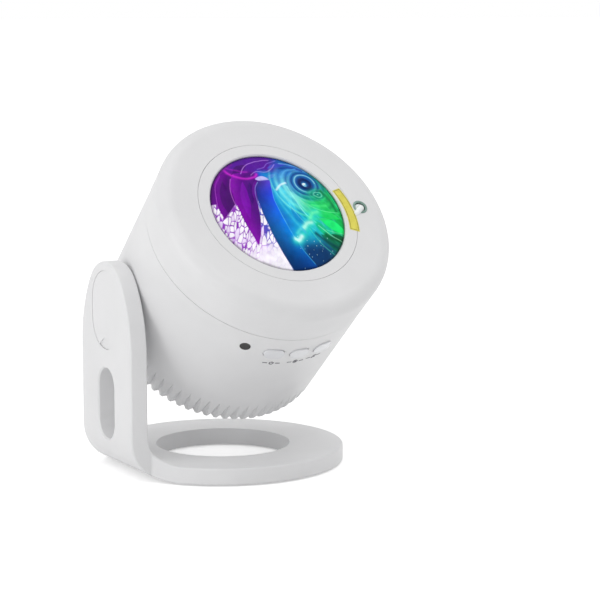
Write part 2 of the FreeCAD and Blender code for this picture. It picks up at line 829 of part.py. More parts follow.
def crystal_lens():
    body = new_body("lens")
    edge = "face_height-lens_edge_drop"
    radius = "opening_radius-3*shell_gap"
    sphere = f"((({radius})^2+lens_dome_rise^2)/(2*lens_dome_rise))"
    flange_top = f"{LENS_SEAT}+lens_thick"
    inner = "lens_skirt_radius-lens_skirt_thick"
    skirt_low = f"{COLLAR_TOP}+wheel_lift+wheel_disc_thick+3*shell_gap"
    inside = f"({sphere}-lens_dome_thick)"
    center = f"({edge}+lens_dome_rise-{sphere})"
    revolve(
        body,
        ("0", f"{edge}+lens_dome_rise-lens_dome_thick"),
        (inner, f"{center}+sqrt({inside}^2-({inner})^2)", inside, -1),
        (inner, skirt_low),
        ("lens_skirt_radius", skirt_low),
        ("lens_skirt_radius", LENS_SEAT),
        ("lens_ring_radius", LENS_SEAT),
        ("lens_ring_radius", flange_top),
        (radius, flange_top),
        (radius, edge),
        ("0", f"{edge}+lens_dome_rise", sphere, 1))
    keep("crystal_lens", body, in_head=True)


def laser():
    top = "face_height-laser_window_thick"
    window = solid("Cylinder", ("laser_place", "0", f"{top}-laser_window_thick"),
                   Radius="laser_barrel_radius", Height="laser_window_thick")
    keep("laser_window", join(window, solid(
        "Cylinder", ("laser_place", "0", f"{top}-laser_window_thick"),
        Radius="laser_hole_radius-shell_gap", Height="laser_window_thick*1.3")), in_head=True)
    body = new_body("laser")
    sketch = sketch_on(body, "XY_Plane", SPLIT)
    circle_at(sketch, "laser_place", "0", "laser_barrel_radius")
    length = f"({top}-laser_window_thick-contact_gap-{SPLIT})"
    barrel = pad(body, sketch, length)
    knurl = sketch_on(body, "XY_Plane", f"{SPLIT}+{length}/4")
    circle_at(knurl, "laser_place", "0", "laser_barrel_radius")
    circle_at(knurl, "laser_place", "0", "laser_barrel_radius*0.85")
    pocket(body, knurl, "laser_window_thick", reverse=True)
    keep("laser_module", body, in_head=True)


# Wave wheel, its gear teeth, the pinion and the motor

def gear_outline(teeth, module, backlash):
    """Closed polygon of an involute spur gear whose first tooth points along +X."""
    pressure = math.radians(20)
    pitch = module * teeth / 2
    base = pitch * math.cos(pressure)
    tip, root = pitch + module, pitch - 1.25 * module
    half_tooth = math.pi / (2 * teeth) - backlash / (2 * pitch)

    def involute(angle):
        return math.tan(angle) - angle

    points = []
    for tooth in range(teeth):
        center = 2 * math.pi * tooth / teeth
        flank = []
        for radius in (max(root, base), pitch, tip):
            angle = math.acos(min(base / radius, 1))
            flank.append((radius, half_tooth + involute(pressure) - involute(angle)))
        sides = [(root, flank[0][1])] if root < base else []
        sides += flank
        turned = [(radius, -spread) for radius, spread in sides] + [
            (radius, spread) for radius, spread in reversed(sides)]
        points += [FreeCAD.Vector(radius * math.cos(center + spread), radius * math.sin(center + spread), 0)
                   for radius, spread in turned]
    return points + points[:1]


def gear(teeth, first_angle, center):
    """Toothed blank standing on a centre point, its first tooth at the given angle."""
    wire = Part.makePolygon(gear_outline(teeth, value("gear_module"), value("gear_backlash")))
    blank = Part.Face(wire).extrude(FreeCAD.Vector(0, 0, value("gear_face")))
    blank.rotate(FreeCAD.Vector(), FreeCAD.Vector(0, 0, 1), first_angle)
    blank.translate(center)
    return blank


def rippled_disc(radius, thick, count, depth):
    """Clear disc with round ripples moulded in its upper face."""
    step = radius * 0.92 / (2 * count)
    points = [FreeCAD.Vector(0, 0, 0), FreeCAD.Vector(radius, 0, 0), FreeCAD.Vector(radius, 0, thick)]
    for index in range(2 * count, -1, -1):
        points.append(FreeCAD.Vector(step * index, 0, thick - (depth if index % 2 else 0)))
    face = Part.Face(Part.makePolygon(points + points[:1]))
    return face.revolve(FreeCAD.Vector(), FreeCAD.Vector(0, 0, 1), 360)


def wave_wheel():
    foot = FreeCAD.Vector(0, 0, value("wheel_height"))
    top = FreeCAD.Vector(0, 0, value(COLLAR_TOP))
    radius, lift = value("wheel_disc_radius"), value("wheel_lift")
    bore = value("collar_radius+running_gap")
    ring = gear(int(value("wheel_teeth")), 180, foot).cut(Part.makeCylinder(bore, value("gear_face"), foot))
    rim = Part.makeCylinder(radius, lift, top).cut(Part.makeCylinder(bore, lift, top))
    disc = rippled_disc(radius, value("wheel_disc_thick"), int(value("wheel_ripple_count")),
                        value("wheel_ripple_depth"))
    disc.translate(top + FreeCAD.Vector(0, 0, lift))
    keep("wave_wheel", fixed_shape("wave_wheel_shape", ring.fuse([rim, disc]).removeSplitter()), in_head=True)


def drive():
    """Pinion in mesh with the wheel at rest, one of its gaps facing a wheel tooth, and its motor."""
    center = FreeCAD.Vector(-value(GEAR_CENTERS), 0, value("wheel_height"))
    pinion = gear(int(value("pinion_teeth")), 180 / value("pinion_teeth"), center)
    shaft_length = value("wheel_height-seam_height+motor_shaft_seat")
    shaft = Part.makeCylinder(value("motor_shaft_radius"), shaft_length,
                              center - FreeCAD.Vector(0, 0, shaft_length))
    keep("motor_pinion", fixed_shape("motor_pinion_shape", pinion.fuse(shaft).removeSplitter()), in_head=True)

    body = new_body("motor")
    can = sketch_on(body, "XY_Plane", "seam_height")
    circle_at(can, f"-{GEAR_CENTERS}", "0", "motor_radius")
    pad(body, can, "motor_length", reverse=True)
    cap = sketch_on(body, "XY_Plane", "seam_height-motor_length")
    circle_at(cap, f"-{GEAR_CENTERS}", "0", "motor_radius/2")
    pad(body, cap, "chassis_thick", reverse=True)
    seat = sketch_on(body, "XY_Plane", "seam_height")
    circle_at(seat, f"-{GEAR_CENTERS}", "0", "motor_shaft_radius+running_gap")
    pocket(body, seat, "motor_shaft_seat+contact_gap")
    keep("wave_motor", body, in_head=True)


def optics_chassis():
    """Plate clamped between shell and bezel, with the wheel's collar and three legs to the heat sink."""
    body = new_body("chassis")
    bore = "collar_radius-collar_wall"
    rim = "barrel_front_radius-shell_wall-chassis_gap"
    revolve(body, (bore, "seam_height"), (rim, "seam_height"), (rim, SPLIT), ("collar_radius", SPLIT),
            ("collar_radius", COLLAR_TOP), (bore, COLLAR_TOP))
    legs = sketch_on(body, "XY_Plane", "seam_height")
    for x, y in around("leg_circle", *LEG_ANGLES):
        circle_at(legs, x, y, "leg_radius")
    pad(body, legs, "seam_height-sink_top", reverse=True)
    holes = sketch_on(body, "XY_Plane", SPLIT)
    for x, y in around("case_screw_circle", *CASE_ANGLES):
        circle_at(holes, x, y, "case_screw_radius+screw_clearance")
    circle_at(holes, f"-{GEAR_CENTERS}", "0", "2*motor_shaft_radius")
    pocket(body, holes, "chassis_thick+shell_gap")
    keep("optics_chassis", body, in_head=True)


# Light engine

def light_engine():
    sink = new_body("sink")
    plate = sketch_on(sink, "XY_Plane", SINK_BOTTOM)
    circle_at(plate, "0", "0", "sink_radius")
    pad(sink, plate, "sink_base_thick")
    fins = sketch_on(sink, "XY_Plane", SINK_BOTTOM)
    for index in range(-3, 4):
        reach = f"2*sqrt(fin_span^2-({index}*fin_pitch)^2)"
        box_at(fins, f"{index}*fin_pitch", "0", "fin_thick", reach)
    pad(sink, fins, "fin_depth", reverse=True)
    keep("heat_sink", sink, in_head=True)

    board = new_body("led_board")
    disc = sketch_on(board, "XY_Plane", "sink_top")
    circle_at(disc, "0", "0", "led_board_radius")
    pad(board, disc, "board_thick")
    keep("led_board", board, in_head=True)

    leds = new_body("leds")
    sketch = sketch_on(leds, "XY_Plane", "sink_top+board_thick")
    for x, y in around("led_circle", 45, 135, 225, 315):
        box_at(sketch, x, y, "led_side", "led_side")
    pad(leds, sketch, "led_height")
    keep("led_emitters", leds, in_head=True)

    cup = new_body("cup")
    foot = "sink_top+board_thick"
    rim = f"{SPLIT}-shell_gap"
    outer = "collar_radius-collar_wall-3*shell_gap"
    revolve(cup, ("cup_foot_radius-cup_wall", foot), ("cup_foot_radius", foot), (outer, rim),
            (f"{outer}-cup_wall", rim))
    keep("reflector_cup", cup, in_head=True)


# Keys, control board and remote receiver window

def controls():
    drum = "barrel_front_radius-(barrel_front_radius-barrel_rear_radius)*0.16"
    for node, across in key_places().items():
        stem = key_block(across, "key_root", "rim_radius+key_proud", "0")
        flange = key_block(across, "key_root", "rim_radius", "key_flange")
        inside = solid("Cylinder", Radius=f"{drum}-shell_wall-key_gap", Height="face_height")
        outside = solid("Cylinder", Radius=f"{drum}+key_proud", Height="face_height")
        keep(node, join(common(stem, outside), common(flange, inside)), in_head=True)

    board = toward_keys("Box", "-board_width/2", "board_center+board_length/2", "board_face-board_thick",
                        Length="board_length", Width="board_width", Height="board_thick")
    holes = [toward_keys("Cylinder", across, height, "board_face-2*board_thick",
                         Radius="board_post_radius/3", Height="3*board_thick")
             for across, height in board_corners()]
    keep("control_board", cut(board, *holes), in_head=True)

    switches = []
    for across in key_places().values():
        switches.append(toward_keys("Box", f"{across}-switch_side/2", "key_height+switch_side/2", "board_face",
                                    Length="switch_side", Width="switch_side", Height="switch_height"))
        switches.append(toward_keys("Cylinder", across, "key_height", "board_face",
                                    Radius="switch_stem_radius",
                                    Height="key_root-key_travel-2*contact_gap-board_face"))
    keep("tact_switches", join(*switches), in_head=True)

    front = f"{drum}+shell_gap"
    back = f"{drum}-shell_wall-2*shell_gap"
    pane = radial("Cylinder", "window_angle", "0", "window_height", f"{back}-window_depth",
                  Radius="window_radius", Height=f"{front}-({back})+window_depth")
    flange = radial("Cylinder", "window_angle", "0", "window_height", f"{back}-window_depth",
                    Radius="window_radius+window_flange", Height="window_depth")
    keep("receiver_window", join(pane, flange), in_head=True)


# Rear cover with its grille, the speaker and the charging socket

def rear_cover():
    body = new_body("rear")
    low = f"({REAR_INNER})-rear_cover_thick"
    disc = sketch_on(body, "XY_Plane", low)
    circle_at(disc, "0", "0", "rear_cover_radius")
    plate = pad(body, disc, "rear_cover_thick")
    rim = edges_where(plate, lambda edge: edge.BoundBox.ZMax < value(low) + 0.01)
    dress(body, "Fillet", plate, rim, Radius="rear_cover_inset*2")
    stand_offs = sketch_on(body, "XY_Plane", REAR_INNER)
    for sign in ("-", "+"):
        circle_at(stand_offs, f"0{sign}(power_board_width/2-board_post_radius)", "-socket_place",
                  "board_post_radius")
    pad(body, stand_offs, "socket_depth-rear_cover_thick")
    mouth = sketch_on(body, "XY_Plane", low)
    box_at(mouth, "0", "-socket_place", "socket_width+3*shell_gap", "socket_height+3*shell_gap")
    pocket(body, mouth, "rear_cover_thick+shell_gap", reverse=True)
    screws = sketch_on(body, "XY_Plane", low)
    for x, y in around("rear_screw_circle", *REAR_ANGLES):
        circle_at(screws, x, y, "case_screw_radius+screw_clearance")
    pocket(body, screws, "rear_cover_thick+shell_gap", reverse=True)
    sinks = sketch_on(body, "XY_Plane", low)
    for x, y in around("rear_screw_circle", *REAR_ANGLES):
        circle_at(sinks, x, y, "case_screw_head_radius+screw_clearance")
    pocket(body, sinks, "rear_cover_thick/2", reverse=True)
    slot = sketch_on(body, "XY_Plane", low)
    obround(slot, "0", "grille_inner_radius", "grille_outer_radius", "grille_slot_width")
    first = pocket(body, slot, "rear_cover_thick+shell_gap", reverse=True)
    polar(body, [first], "grille_slot_count")
    keep("rear_cover", body, in_head=True)


def speaker():
    seat = f"({REAR_INNER})"
    frame = new_body("speaker_frame")
    back = f"{seat}+speaker_depth"
    throat = "speaker_radius*0.86"
    revolve(frame, (throat, seat), ("speaker_radius", seat), ("speaker_radius", f"{seat}+speaker_flange_thick"),
            (f"{throat}+speaker_sheet", f"{seat}+speaker_flange_thick"),
            ("speaker_magnet_radius+speaker_sheet", back), ("speaker_magnet_radius/3", back),
            ("speaker_magnet_radius/3", f"{back}-speaker_sheet"),
            ("speaker_magnet_radius", f"{back}-speaker_sheet"))
    keep("speaker_frame", frame, in_head=True)
    cone = new_body("speaker_cone")
    lip = f"{throat}-speaker_sheet*1.5"
    low = f"{seat}+speaker_flange_thick/2"
    high = f"{back}-speaker_sheet*3"
    revolve(cone, ("0", high), ("speaker_magnet_radius/2", high), (f"{lip}-speaker_sheet", f"{low}+speaker_sheet"),
            (lip, f"{low}+speaker_sheet"), (lip, low), (f"{lip}-speaker_sheet", low),
            ("speaker_magnet_radius/2", f"{high}-speaker_sheet"), ("0", f"{high}-speaker_sheet*3"))
    keep("speaker_cone", cone, in_head=True)
    magnet = new_body("speaker_magnet")
    disc = sketch_on(magnet, "XY_Plane", back)
    circle_at(disc, "0", "0", "speaker_magnet_radius")
    pad(magnet, disc, "speaker_magnet_height")
    keep("speaker_magnet", magnet, in_head=True)


def charging_socket():
    body = new_body("socket")
    low = f"({REAR_INNER})-rear_cover_thick+contact_gap"
    shell = sketch_on(body, "XY_Plane", low)
    box_at(shell, "0", "-socket_place", "socket_width", "socket_height")
    pad(body, shell, "socket_depth-contact_gap")
    mouth = sketch_on(body, "XY_Plane", low)
    box_at(mouth, "0", "-socket_place", "socket_width-2*socket_wall", "socket_height-2*socket_wall")
    pocket(body, mouth, "socket_depth*0.8", reverse=True)
    tongue = sketch_on(body, "XY_Plane", f"{low}+socket_wall*2")
    box_at(tongue, "0", "-socket_place", "socket_width*0.7", "socket_wall*2")
    pad(body, tongue, "socket_depth*0.85")
    keep("charging_socket", body, in_head=True)
    board = new_body("power_board")
    sketch = sketch_on(board, "XY_Plane", f"({REAR_INNER})-rear_cover_thick+socket_depth")
    box_at(sketch, "0", "-socket_place", "power_board_width", "power_board_length")
    pad(board, sketch, "board_thick")
    keep("power_board", board, in_head=True)


# Screws of the case

def screw_set(node, circle, angles, head_face, up):
    """Pan-head screws on a circle; up is True where the shank points to the lens."""
    body = new_body(node)
    heads = sketch_on(body, "XY_Plane", head_face)
    for x, y in around(circle, *angles):
        circle_at(heads, x, y, "case_screw_head_radius")
    pad(body, heads, "case_screw_head_height" if node == "front_screws" else "rear_cover_thick/2",
        reverse=up)
    shanks = sketch_on(body, "XY_Plane", head_face)
    for x, y in around(circle, *angles):
        circle_at(shanks, x, y, "case_screw_radius")
    length = "case_screw_grip+front_flange_thick+chassis_thick-shell_gap"
    if node == "rear_screws":
        length = "rear_boss_height-shell_wall/2"
    pad(body, shanks, length, reverse=not up)
    keep(node, body, in_head=True)


stand_bracket()
rubber_feet()
arm_cover()
tilt_joint()
main_shell()
front_bezel()
lens_ring()
crystal_lens()
laser()
wave_wheel()
drive()
optics_chassis()
light_engine()
controls()
rear_cover()
speaker()
charging_socket()
screw_set("front_screws", "case_screw_circle", CASE_ANGLES, "seam_height-front_flange_thick", True)
screw_set("rear_screws", "rear_screw_circle", REAR_ANGLES, f"({REAR_INNER})-rear_cover_thick/2", True)
document.recompute()

for item in document.Objects:
    if "Invalid" in item.State or "Error" in item.State:
        raise RuntimeError(f"{item.Label} failed: {item.State}")
os.makedirs("parts", exist_ok=True)
for node, item in PARTS.items():
    if item.Shape.isNull() or not item.Shape.isValid():
        raise RuntimeError(f"{node} has no valid shape")
    item.Shape.exportStep(f"parts/{node}.step")
    print(node, len(item.Shape.Solids), round(item.Shape.Volume, 1))
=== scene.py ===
"""Looks of a tilting night light projector: satin white plastic, a glowing lens and small trim."""

import json
import math

import bpy
import numpy as np
from mathutils import Matrix, Vector

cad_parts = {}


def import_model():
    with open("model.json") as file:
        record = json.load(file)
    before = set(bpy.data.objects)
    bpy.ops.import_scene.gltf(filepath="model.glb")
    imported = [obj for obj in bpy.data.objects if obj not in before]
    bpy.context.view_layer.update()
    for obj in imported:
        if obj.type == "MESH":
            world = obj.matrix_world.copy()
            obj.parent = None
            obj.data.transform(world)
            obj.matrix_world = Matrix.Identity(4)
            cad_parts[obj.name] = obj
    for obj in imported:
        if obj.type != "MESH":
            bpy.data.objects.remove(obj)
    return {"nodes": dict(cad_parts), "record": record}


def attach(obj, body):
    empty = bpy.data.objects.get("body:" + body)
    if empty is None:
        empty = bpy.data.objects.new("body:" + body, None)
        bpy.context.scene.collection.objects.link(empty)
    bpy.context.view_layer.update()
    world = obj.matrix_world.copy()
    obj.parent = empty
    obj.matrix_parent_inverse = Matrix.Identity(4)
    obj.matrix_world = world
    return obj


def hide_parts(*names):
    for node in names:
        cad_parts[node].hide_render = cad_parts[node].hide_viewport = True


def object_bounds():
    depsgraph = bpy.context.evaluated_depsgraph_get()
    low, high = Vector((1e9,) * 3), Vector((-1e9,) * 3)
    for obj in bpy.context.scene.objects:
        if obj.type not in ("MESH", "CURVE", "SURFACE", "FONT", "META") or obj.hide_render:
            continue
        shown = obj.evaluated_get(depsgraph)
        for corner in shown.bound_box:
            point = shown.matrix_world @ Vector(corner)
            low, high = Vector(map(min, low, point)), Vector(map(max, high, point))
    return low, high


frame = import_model()
cad_low, cad_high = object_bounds()

MM = 0.001
FULL_TURN = 2 * math.pi
FAR = 1e9
PIVOT, REST_TILT = (4.4, 0.0, 90.6), 47.6
HEAD = (Matrix.Translation(Vector(PIVOT) * MM)
        @ Matrix.Rotation(math.radians(REST_TILT), 4, "X"))

# Places on the head in millimetres: radii are taken from the drum's own axis, and heights
# along it from the tilt axis

FACE = 75.5
LENS_RADIUS, LENS_EDGE, LENS_RISE = 37.3, 74.3, 3.0
LENS_FLANGE, FLANGE_TOP, FLANGE_LOW = 44.2, 72.4, 70.5
LENS_SKIRT, SKIRT_INNER, SKIRT_LOW = 36.9, 34.9, 66.2
LENS_BACK, LENS_BACK_MIDDLE = ((SKIRT_INNER, 70.2), (24.0, 72.6), (12.0, 73.8)), 74.2
LENS_AROUND, LENS_ACROSS = 720, 140
LASER_PLACE = 49.3
DRUM_REAR, DRUM_FRONT = (-24.0, 62.9), (51.0, 64.2)

# Sockets of a Mix node that mixes colours, by number because their names repeat

MIX_FACTOR, MIX_FIRST, MIX_SECOND, MIX_RESULT = 0, 6, 7, 2


def linear(share):
    """Linear value of a screen value between 0 and 1."""
    return np.where(share < 0.04045, share / 12.92, ((share + 0.055) / 1.055) ** 2.4)


def srgb(*color):
    """Linear colour of a 0 to 255 screen colour."""
    return tuple(float(value) for value in linear(np.array(color) / 255))


# Materials

class Surface:
    """A principled material under construction, with its own object coordinates."""

    def __init__(self, name):
        self.material = bpy.data.materials.new(name)
        self.material.use_nodes = True
        self.tree = self.material.node_tree
        self.shader = self.tree.nodes["Principled BSDF"]
        self.coordinates = self.tree.nodes.new("ShaderNodeTexCoord").outputs["Object"]

    def node(self, kind, inputs=(), **settings):
        """New node with its settings, and its inputs as values or links."""
        made = self.tree.nodes.new("ShaderNode" + kind)
        for key, value in settings.items():
            setattr(made, key, value)
        for key, value in dict(inputs).items():
            if isinstance(value, bpy.types.NodeSocket):
                self.tree.links.new(value, made.inputs[key])
            else:
                made.inputs[key].default_value = value
        return made

    def set(self, **values):
        """Constants on the shader; an underscore stands for a space."""
        for key, value in values.items():
            self.shader.inputs[key.replace("_", " ")].default_value = value

    def feed(self, socket, output):
        self.tree.links.new(output, self.shader.inputs[socket])

    def stretched(self, scale):
        """Coordinates scaled apart along each axis, for brushed or drawn grain."""
        return self.node("Mapping", {"Vector": self.coordinates, "Scale": scale}).outputs["Vector"]

    def noise(self, scale, detail=3.0, vector=None):
        return self.node("TexNoise", {"Vector": vector or self.coordinates, "Scale": scale,
                                      "Detail": detail}).outputs["Fac"]

    def cells(self, scale):
        """Distance to the nearest of scattered points."""
        return self.node("TexVoronoi", {"Vector": self.coordinates,
                                        "Scale": scale}).outputs["Distance"]

    def between(self, factor, low, high, start=0.3, end=0.7):
        """Number that runs from low to high as the factor runs from start to end."""
        return self.node("MapRange", {"Value": factor, "From Min": start, "From Max": end,
                                      "To Min": low, "To Max": high}).outputs["Result"]

    def ramp(self, factor, *stops):
        """Colour ramp from (position, colour) stops."""
        made = self.node("ValToRGB", {"Fac": factor})
        elements = made.color_ramp.elements
        while len(elements) < len(stops):
            elements.new(0.5)
        for element, (position, color) in zip(elements, stops):
            element.position = position
            element.color = (*color, 1.0)
        return made.outputs["Color"]

    def bump(self, height, depth, strength, under=None):
        """Bump of a depth in metres, on top of another one where given."""
        inputs = {"Height": height, "Distance": depth, "Strength": strength}
        if under is not None:
            inputs["Normal"] = under
        return self.node("Bump", inputs).outputs["Normal"]


def moulded(name, light, dark, rough=(0.36, 0.46), grain=1500.0, depth=0.00004, coat=0.0):
    """Injection-moulded plastic: slow colour drift, uneven gloss and a spark-eroded grain."""
    made = Surface(name)
    drift = made.noise(22.0, detail=4.0)
    made.feed("Base Color", made.ramp(drift, (0.35, dark), (0.65, light)))
    made.feed("Roughness", made.between(made.noise(60.0, detail=5.0), *rough))
    sink = made.bump(made.noise(45.0, detail=2.0), depth=0.00012, strength=0.35)
    made.feed("Normal", made.bump(made.noise(grain, detail=2.0), depth, strength=0.5, under=sink))
    made.set(IOR=1.5, Coat_Weight=coat, Coat_Roughness=0.12)
    return made.material


def brushed(name, light, dark, scale, rough=(0.22, 0.38)):
    """Turned or brushed metal with grain drawn out along one direction."""
    made = Surface(name)
    grain = made.noise(160.0, detail=6.0, vector=made.stretched(scale))
    made.feed("Base Color", made.ramp(grain, (0.3, dark), (0.7, light)))
    made.feed("Roughness", made.between(grain, *rough))
    made.feed("Normal", made.bump(grain, depth=0.00003, strength=0.5))
    made.set(Metallic=1.0)
    return made.material


def rubber(name):
    """Dark matt rubber with fine specks."""
    made = Surface(name)
    specks = made.noise(900.0, detail=5.0)
    made.feed("Base Color", made.ramp(specks, (0.35, srgb(58, 58, 60)), (0.7, srgb(92, 92, 94))))
    made.feed("Roughness", made.between(made.noise(200.0), 0.7, 0.9))
    made.feed("Normal", made.bump(specks, depth=0.00006, strength=0.7))
    return made.material


def board_green(name):
    """Solder mask over copper runs, with a scatter of tinned pads."""
    made = Surface(name)
    runs = made.node("TexBrick", {"Vector": made.coordinates, "Scale": 260.0, "Mortar Size": 0.012,
                                  "Color1": (*srgb(14, 88, 52), 1),
                                  "Color2": (*srgb(18, 98, 60), 1),
                                  "Mortar": (*srgb(38, 132, 82), 1)})
    tin = made.between(made.cells(420.0), 1.0, 0.0, start=0.14, end=0.2)
    mixed = made.node("Mix", {MIX_FACTOR: tin, MIX_FIRST: runs.outputs["Color"],
                              MIX_SECOND: (*srgb(190, 190, 184), 1)}, data_type="RGBA")
    made.feed("Base Color", mixed.outputs[MIX_RESULT])
    made.feed("Roughness", made.between(made.noise(90.0), 0.28, 0.45))
    made.feed("Normal", made.bump(runs.outputs["Fac"], depth=0.00004, strength=0.6))
    return made.material


def clear(name, tint):
    """Clear or lightly tinted acrylic with faint flow marks."""
    made = Surface(name)
    flow = made.noise(130.0)
    bright = tuple(min(1.0, value * 1.05) for value in tint)
    made.feed("Base Color", made.ramp(flow, (0.3, tint), (0.7, bright)))
    made.feed("Roughness", made.between(flow, 0.02, 0.07))
    made.feed("Normal", made.bump(flow, depth=0.00003, strength=0.3))
    made.set(IOR=1.49, Transmission_Weight=1.0)
    return made.material


def paper_cone(name):
    """Dark pressed paper with loose fibres."""
    made = Surface(name)
    fibres = made.noise(1200.0, detail=6.0)
    made.feed("Base Color", made.ramp(fibres, (0.3, srgb(34, 33, 32)), (0.7, srgb(62, 60, 57))))
    made.feed("Roughness", made.between(fibres, 0.75, 0.92))
    made.feed("Normal", made.bump(fibres, depth=0.00008, strength=0.8))
    return made.material


def lit_chip(name):
    """Yellow phosphor in fine cells."""
    made = Surface(name)
    grains = made.cells(900.0)
    made.feed("Base Color", made.ramp(grains, (0.2, srgb(250, 236, 150)),
                                      (0.8, srgb(236, 210, 96))))
    made.feed("Roughness", made.between(grains, 0.25, 0.4, start=0.0, end=1.0))
    return made.material


def printed(name, light, dark, rough=(0.4, 0.55)):
    """Ink or film on the plastic, a little uneven."""
    made = Surface(name)
    tone = made.noise(380.0, detail=5.0)
    made.feed("Base Color", made.ramp(tone, (0.3, dark), (0.7, light)))
    made.feed("Roughness", made.between(made.noise(150.0), *rough))
    made.feed("Normal", made.bump(tone, depth=0.00002, strength=0.4))
    return made.material


def glowing_lens(name):
    """Crystal lens lit from behind: colour painted on the relief, under a thin clear coat."""
    made = Surface(name)
    paint = made.node("Attribute", attribute_name="swirl").outputs["Color"]
    veil = made.noise(260.0, detail=4.0)
    shade = made.node("HueSaturation", {"Color": paint, "Value": made.between(veil, 0.88, 1.1)})
    made.feed("Base Color", shade.outputs["Color"])
    made.feed("Emission Color", shade.outputs["Color"])
    made.feed("Roughness", made.between(veil, 0.1, 0.22))
    made.feed("Normal", made.bump(veil, depth=0.00005, strength=0.5))
    made.set(Emission_Strength=0.16, Coat_Weight=0.07, Coat_Roughness=0.03, IOR=1.5,
             Specular_IOR_Level=0.02)
    return made.material


FINISHES = {
    "white_case": moulded("satin_white", srgb(232, 232, 233), srgb(227, 227, 228)),
    "white_key": moulded("key_white", srgb(232, 233, 236), srgb(222, 223, 227),
                         rough=(0.18, 0.26), grain=900.0, depth=0.00002, coat=0.5),
    "foot_rubber": rubber("foot_rubber"),
    "nylon": moulded("milky_nylon", srgb(226, 222, 208), srgb(214, 209, 194), rough=(0.45, 0.6)),
    "steel": brushed("bright_steel", srgb(206, 207, 210), srgb(168, 170, 175), (1.0, 1.0, 12.0)),
    "clear_lens": clear("window_glass", srgb(206, 226, 217)),
    "brass_barrel": brushed("turned_brass", srgb(222, 190, 120), srgb(184, 148, 82),
                            (1.0, 12.0, 12.0)),
    "wave_acrylic": clear("wave_acrylic", srgb(238, 244, 250)),
    "dark_frame": moulded("black_moulding", srgb(46, 46, 49), srgb(33, 33, 36),
                          rough=(0.4, 0.55)),
    "aluminium": brushed("extruded_aluminium", srgb(216, 217, 219), srgb(184, 186, 190),
                         (10.0, 1.0, 1.0)),
    "circuit_board": board_green("solder_mask"),
    "led_face": lit_chip("phosphor_chip"),
    "mirror_cup": brushed("vacuum_plated", srgb(236, 236, 238), srgb(222, 222, 226),
                          (1.0, 1.0, 1.0), rough=(0.06, 0.14)),
    "dark_window": moulded("infrared_dark", srgb(30, 24, 27), srgb(16, 12, 15),
                           rough=(0.12, 0.2), grain=700.0, depth=0.00001, coat=0.2),
    "speaker_paper": paper_cone("cone_paper"),
}


def dress_frame():
    """Every CAD piece takes the finish of its material slot."""
    for part in frame["record"]["subparts"]:
        node = frame["nodes"][part["node"]]
        for slot in node.material_slots:
            slot.material = FINISHES[part["material_slot"]]


# Pieces

def piece(name, points, faces, material, body="head", smooth=True):
    """Mesh from points in the head's own millimetres."""
    mesh = bpy.data.meshes.new(name)
    mesh.from_pydata([HEAD @ (Vector(point) * MM) for point in points], [], faces)
    mesh.update()
    mesh.polygons.foreach_set("use_smooth", [smooth] * len(mesh.polygons))
    made = bpy.data.objects.new(name, mesh)
    bpy.context.scene.collection.objects.link(made)
    mesh.materials.append(material)
    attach(made, body)
    return made


def ring_faces(rings, around):
    """Quads between rings of points that all close round."""
    return [(ring * around + i, ring * around + (i + 1) % around,
             (ring + 1) * around + (i + 1) % around, (ring + 1) * around + i)
            for ring in range(rings - 1) for i in range(around)]


def smooth_step(start, end, x):
    """Weight that grows from 0 at the start to 1 at the end, which may be the lower one."""
    t = np.clip((x - start) / (end - start), 0.0, 1.0)
    return t * t * (3 - 2 * t)


def along(table, x):
    """Interpolation of (x, value or colour) stops at each x."""
    stops = sorted(table)
    at = [stop[0] for stop in stops]
    values = np.array([stop[1] for stop in stops], float)
    if values.ndim == 1:
        return np.interp(x, at, values)
    return np.stack([np.interp(x, at, column) for column in values.T], axis=-1)


def eased(points, steps=5):
    """The same line as a smooth curve through its points."""
    ends = [points[0], *points, points[-1]]
    made = []
    for a, b, c, d in zip(ends, ends[1:], ends[2:], ends[3:]):
        for t in (i / steps for i in range(steps)):
            made.append(tuple(
                b[k] + 0.5 * t * (c[k] - a[k] + t * (2 * a[k] - 5 * b[k] + 4 * c[k] - d[k]
                                                     + t * (3 * (b[k] - c[k]) + d[k] - a[k])))
                for k in (0, 1)))
    return made + [tuple(points[-1])]


def distance_to(points, x, y):
    """Distance from each place to a smooth line through the points."""
    best = np.full(x.shape, FAR)
    points = eased(points) if len(points) > 2 else points
    for (ax, ay), (bx, by) in zip(points, points[1:]):
        dx, dy = bx - ax, by - ay
        t = np.clip(((x - ax) * dx + (y - ay) * dy) / (dx * dx + dy * dy), 0, 1)
        best = np.minimum(best, np.hypot(x - ax - t * dx, y - ay - t * dy))
    return best


# The colours behind the lens are worked out here. Places are in millimetres on the lens plane,
# X to the right and Y up the face, and colours are 0 to 255 screen colours.

# Fan of colours round a point above the lens, by angle in degrees
FAN_FROM = (-3.0, 66.0)
FAN = [(-40, (84, 0, 120)), (-24, (98, 0, 134)), (-15, (116, 2, 150)), (-8, (96, 4, 140)),
       (-3, (84, 26, 166)), (0, (24, 100, 204)), (5, (18, 150, 212)), (12, (22, 182, 214)),
       (17, (30, 196, 184)), (21, (8, 188, 110)), (27, (0, 176, 70)), (36, (0, 140, 84))]
TOP_BLUE, TOP_VIOLET = (22, 74, 180), (84, 18, 150)
LOW_BLUE, LOW_GREEN, STREAK = (8, 46, 98), (2, 60, 52), (150, 236, 232)
FAN_FOLDS, FAN_STREAKS = 34, 58
# Sideways waves of the fan: reach and pitch, the first up the lens and the second slantwise
WAVE, SLANT_WAVE = (1.1, 5.0), (0.6, 2.7)

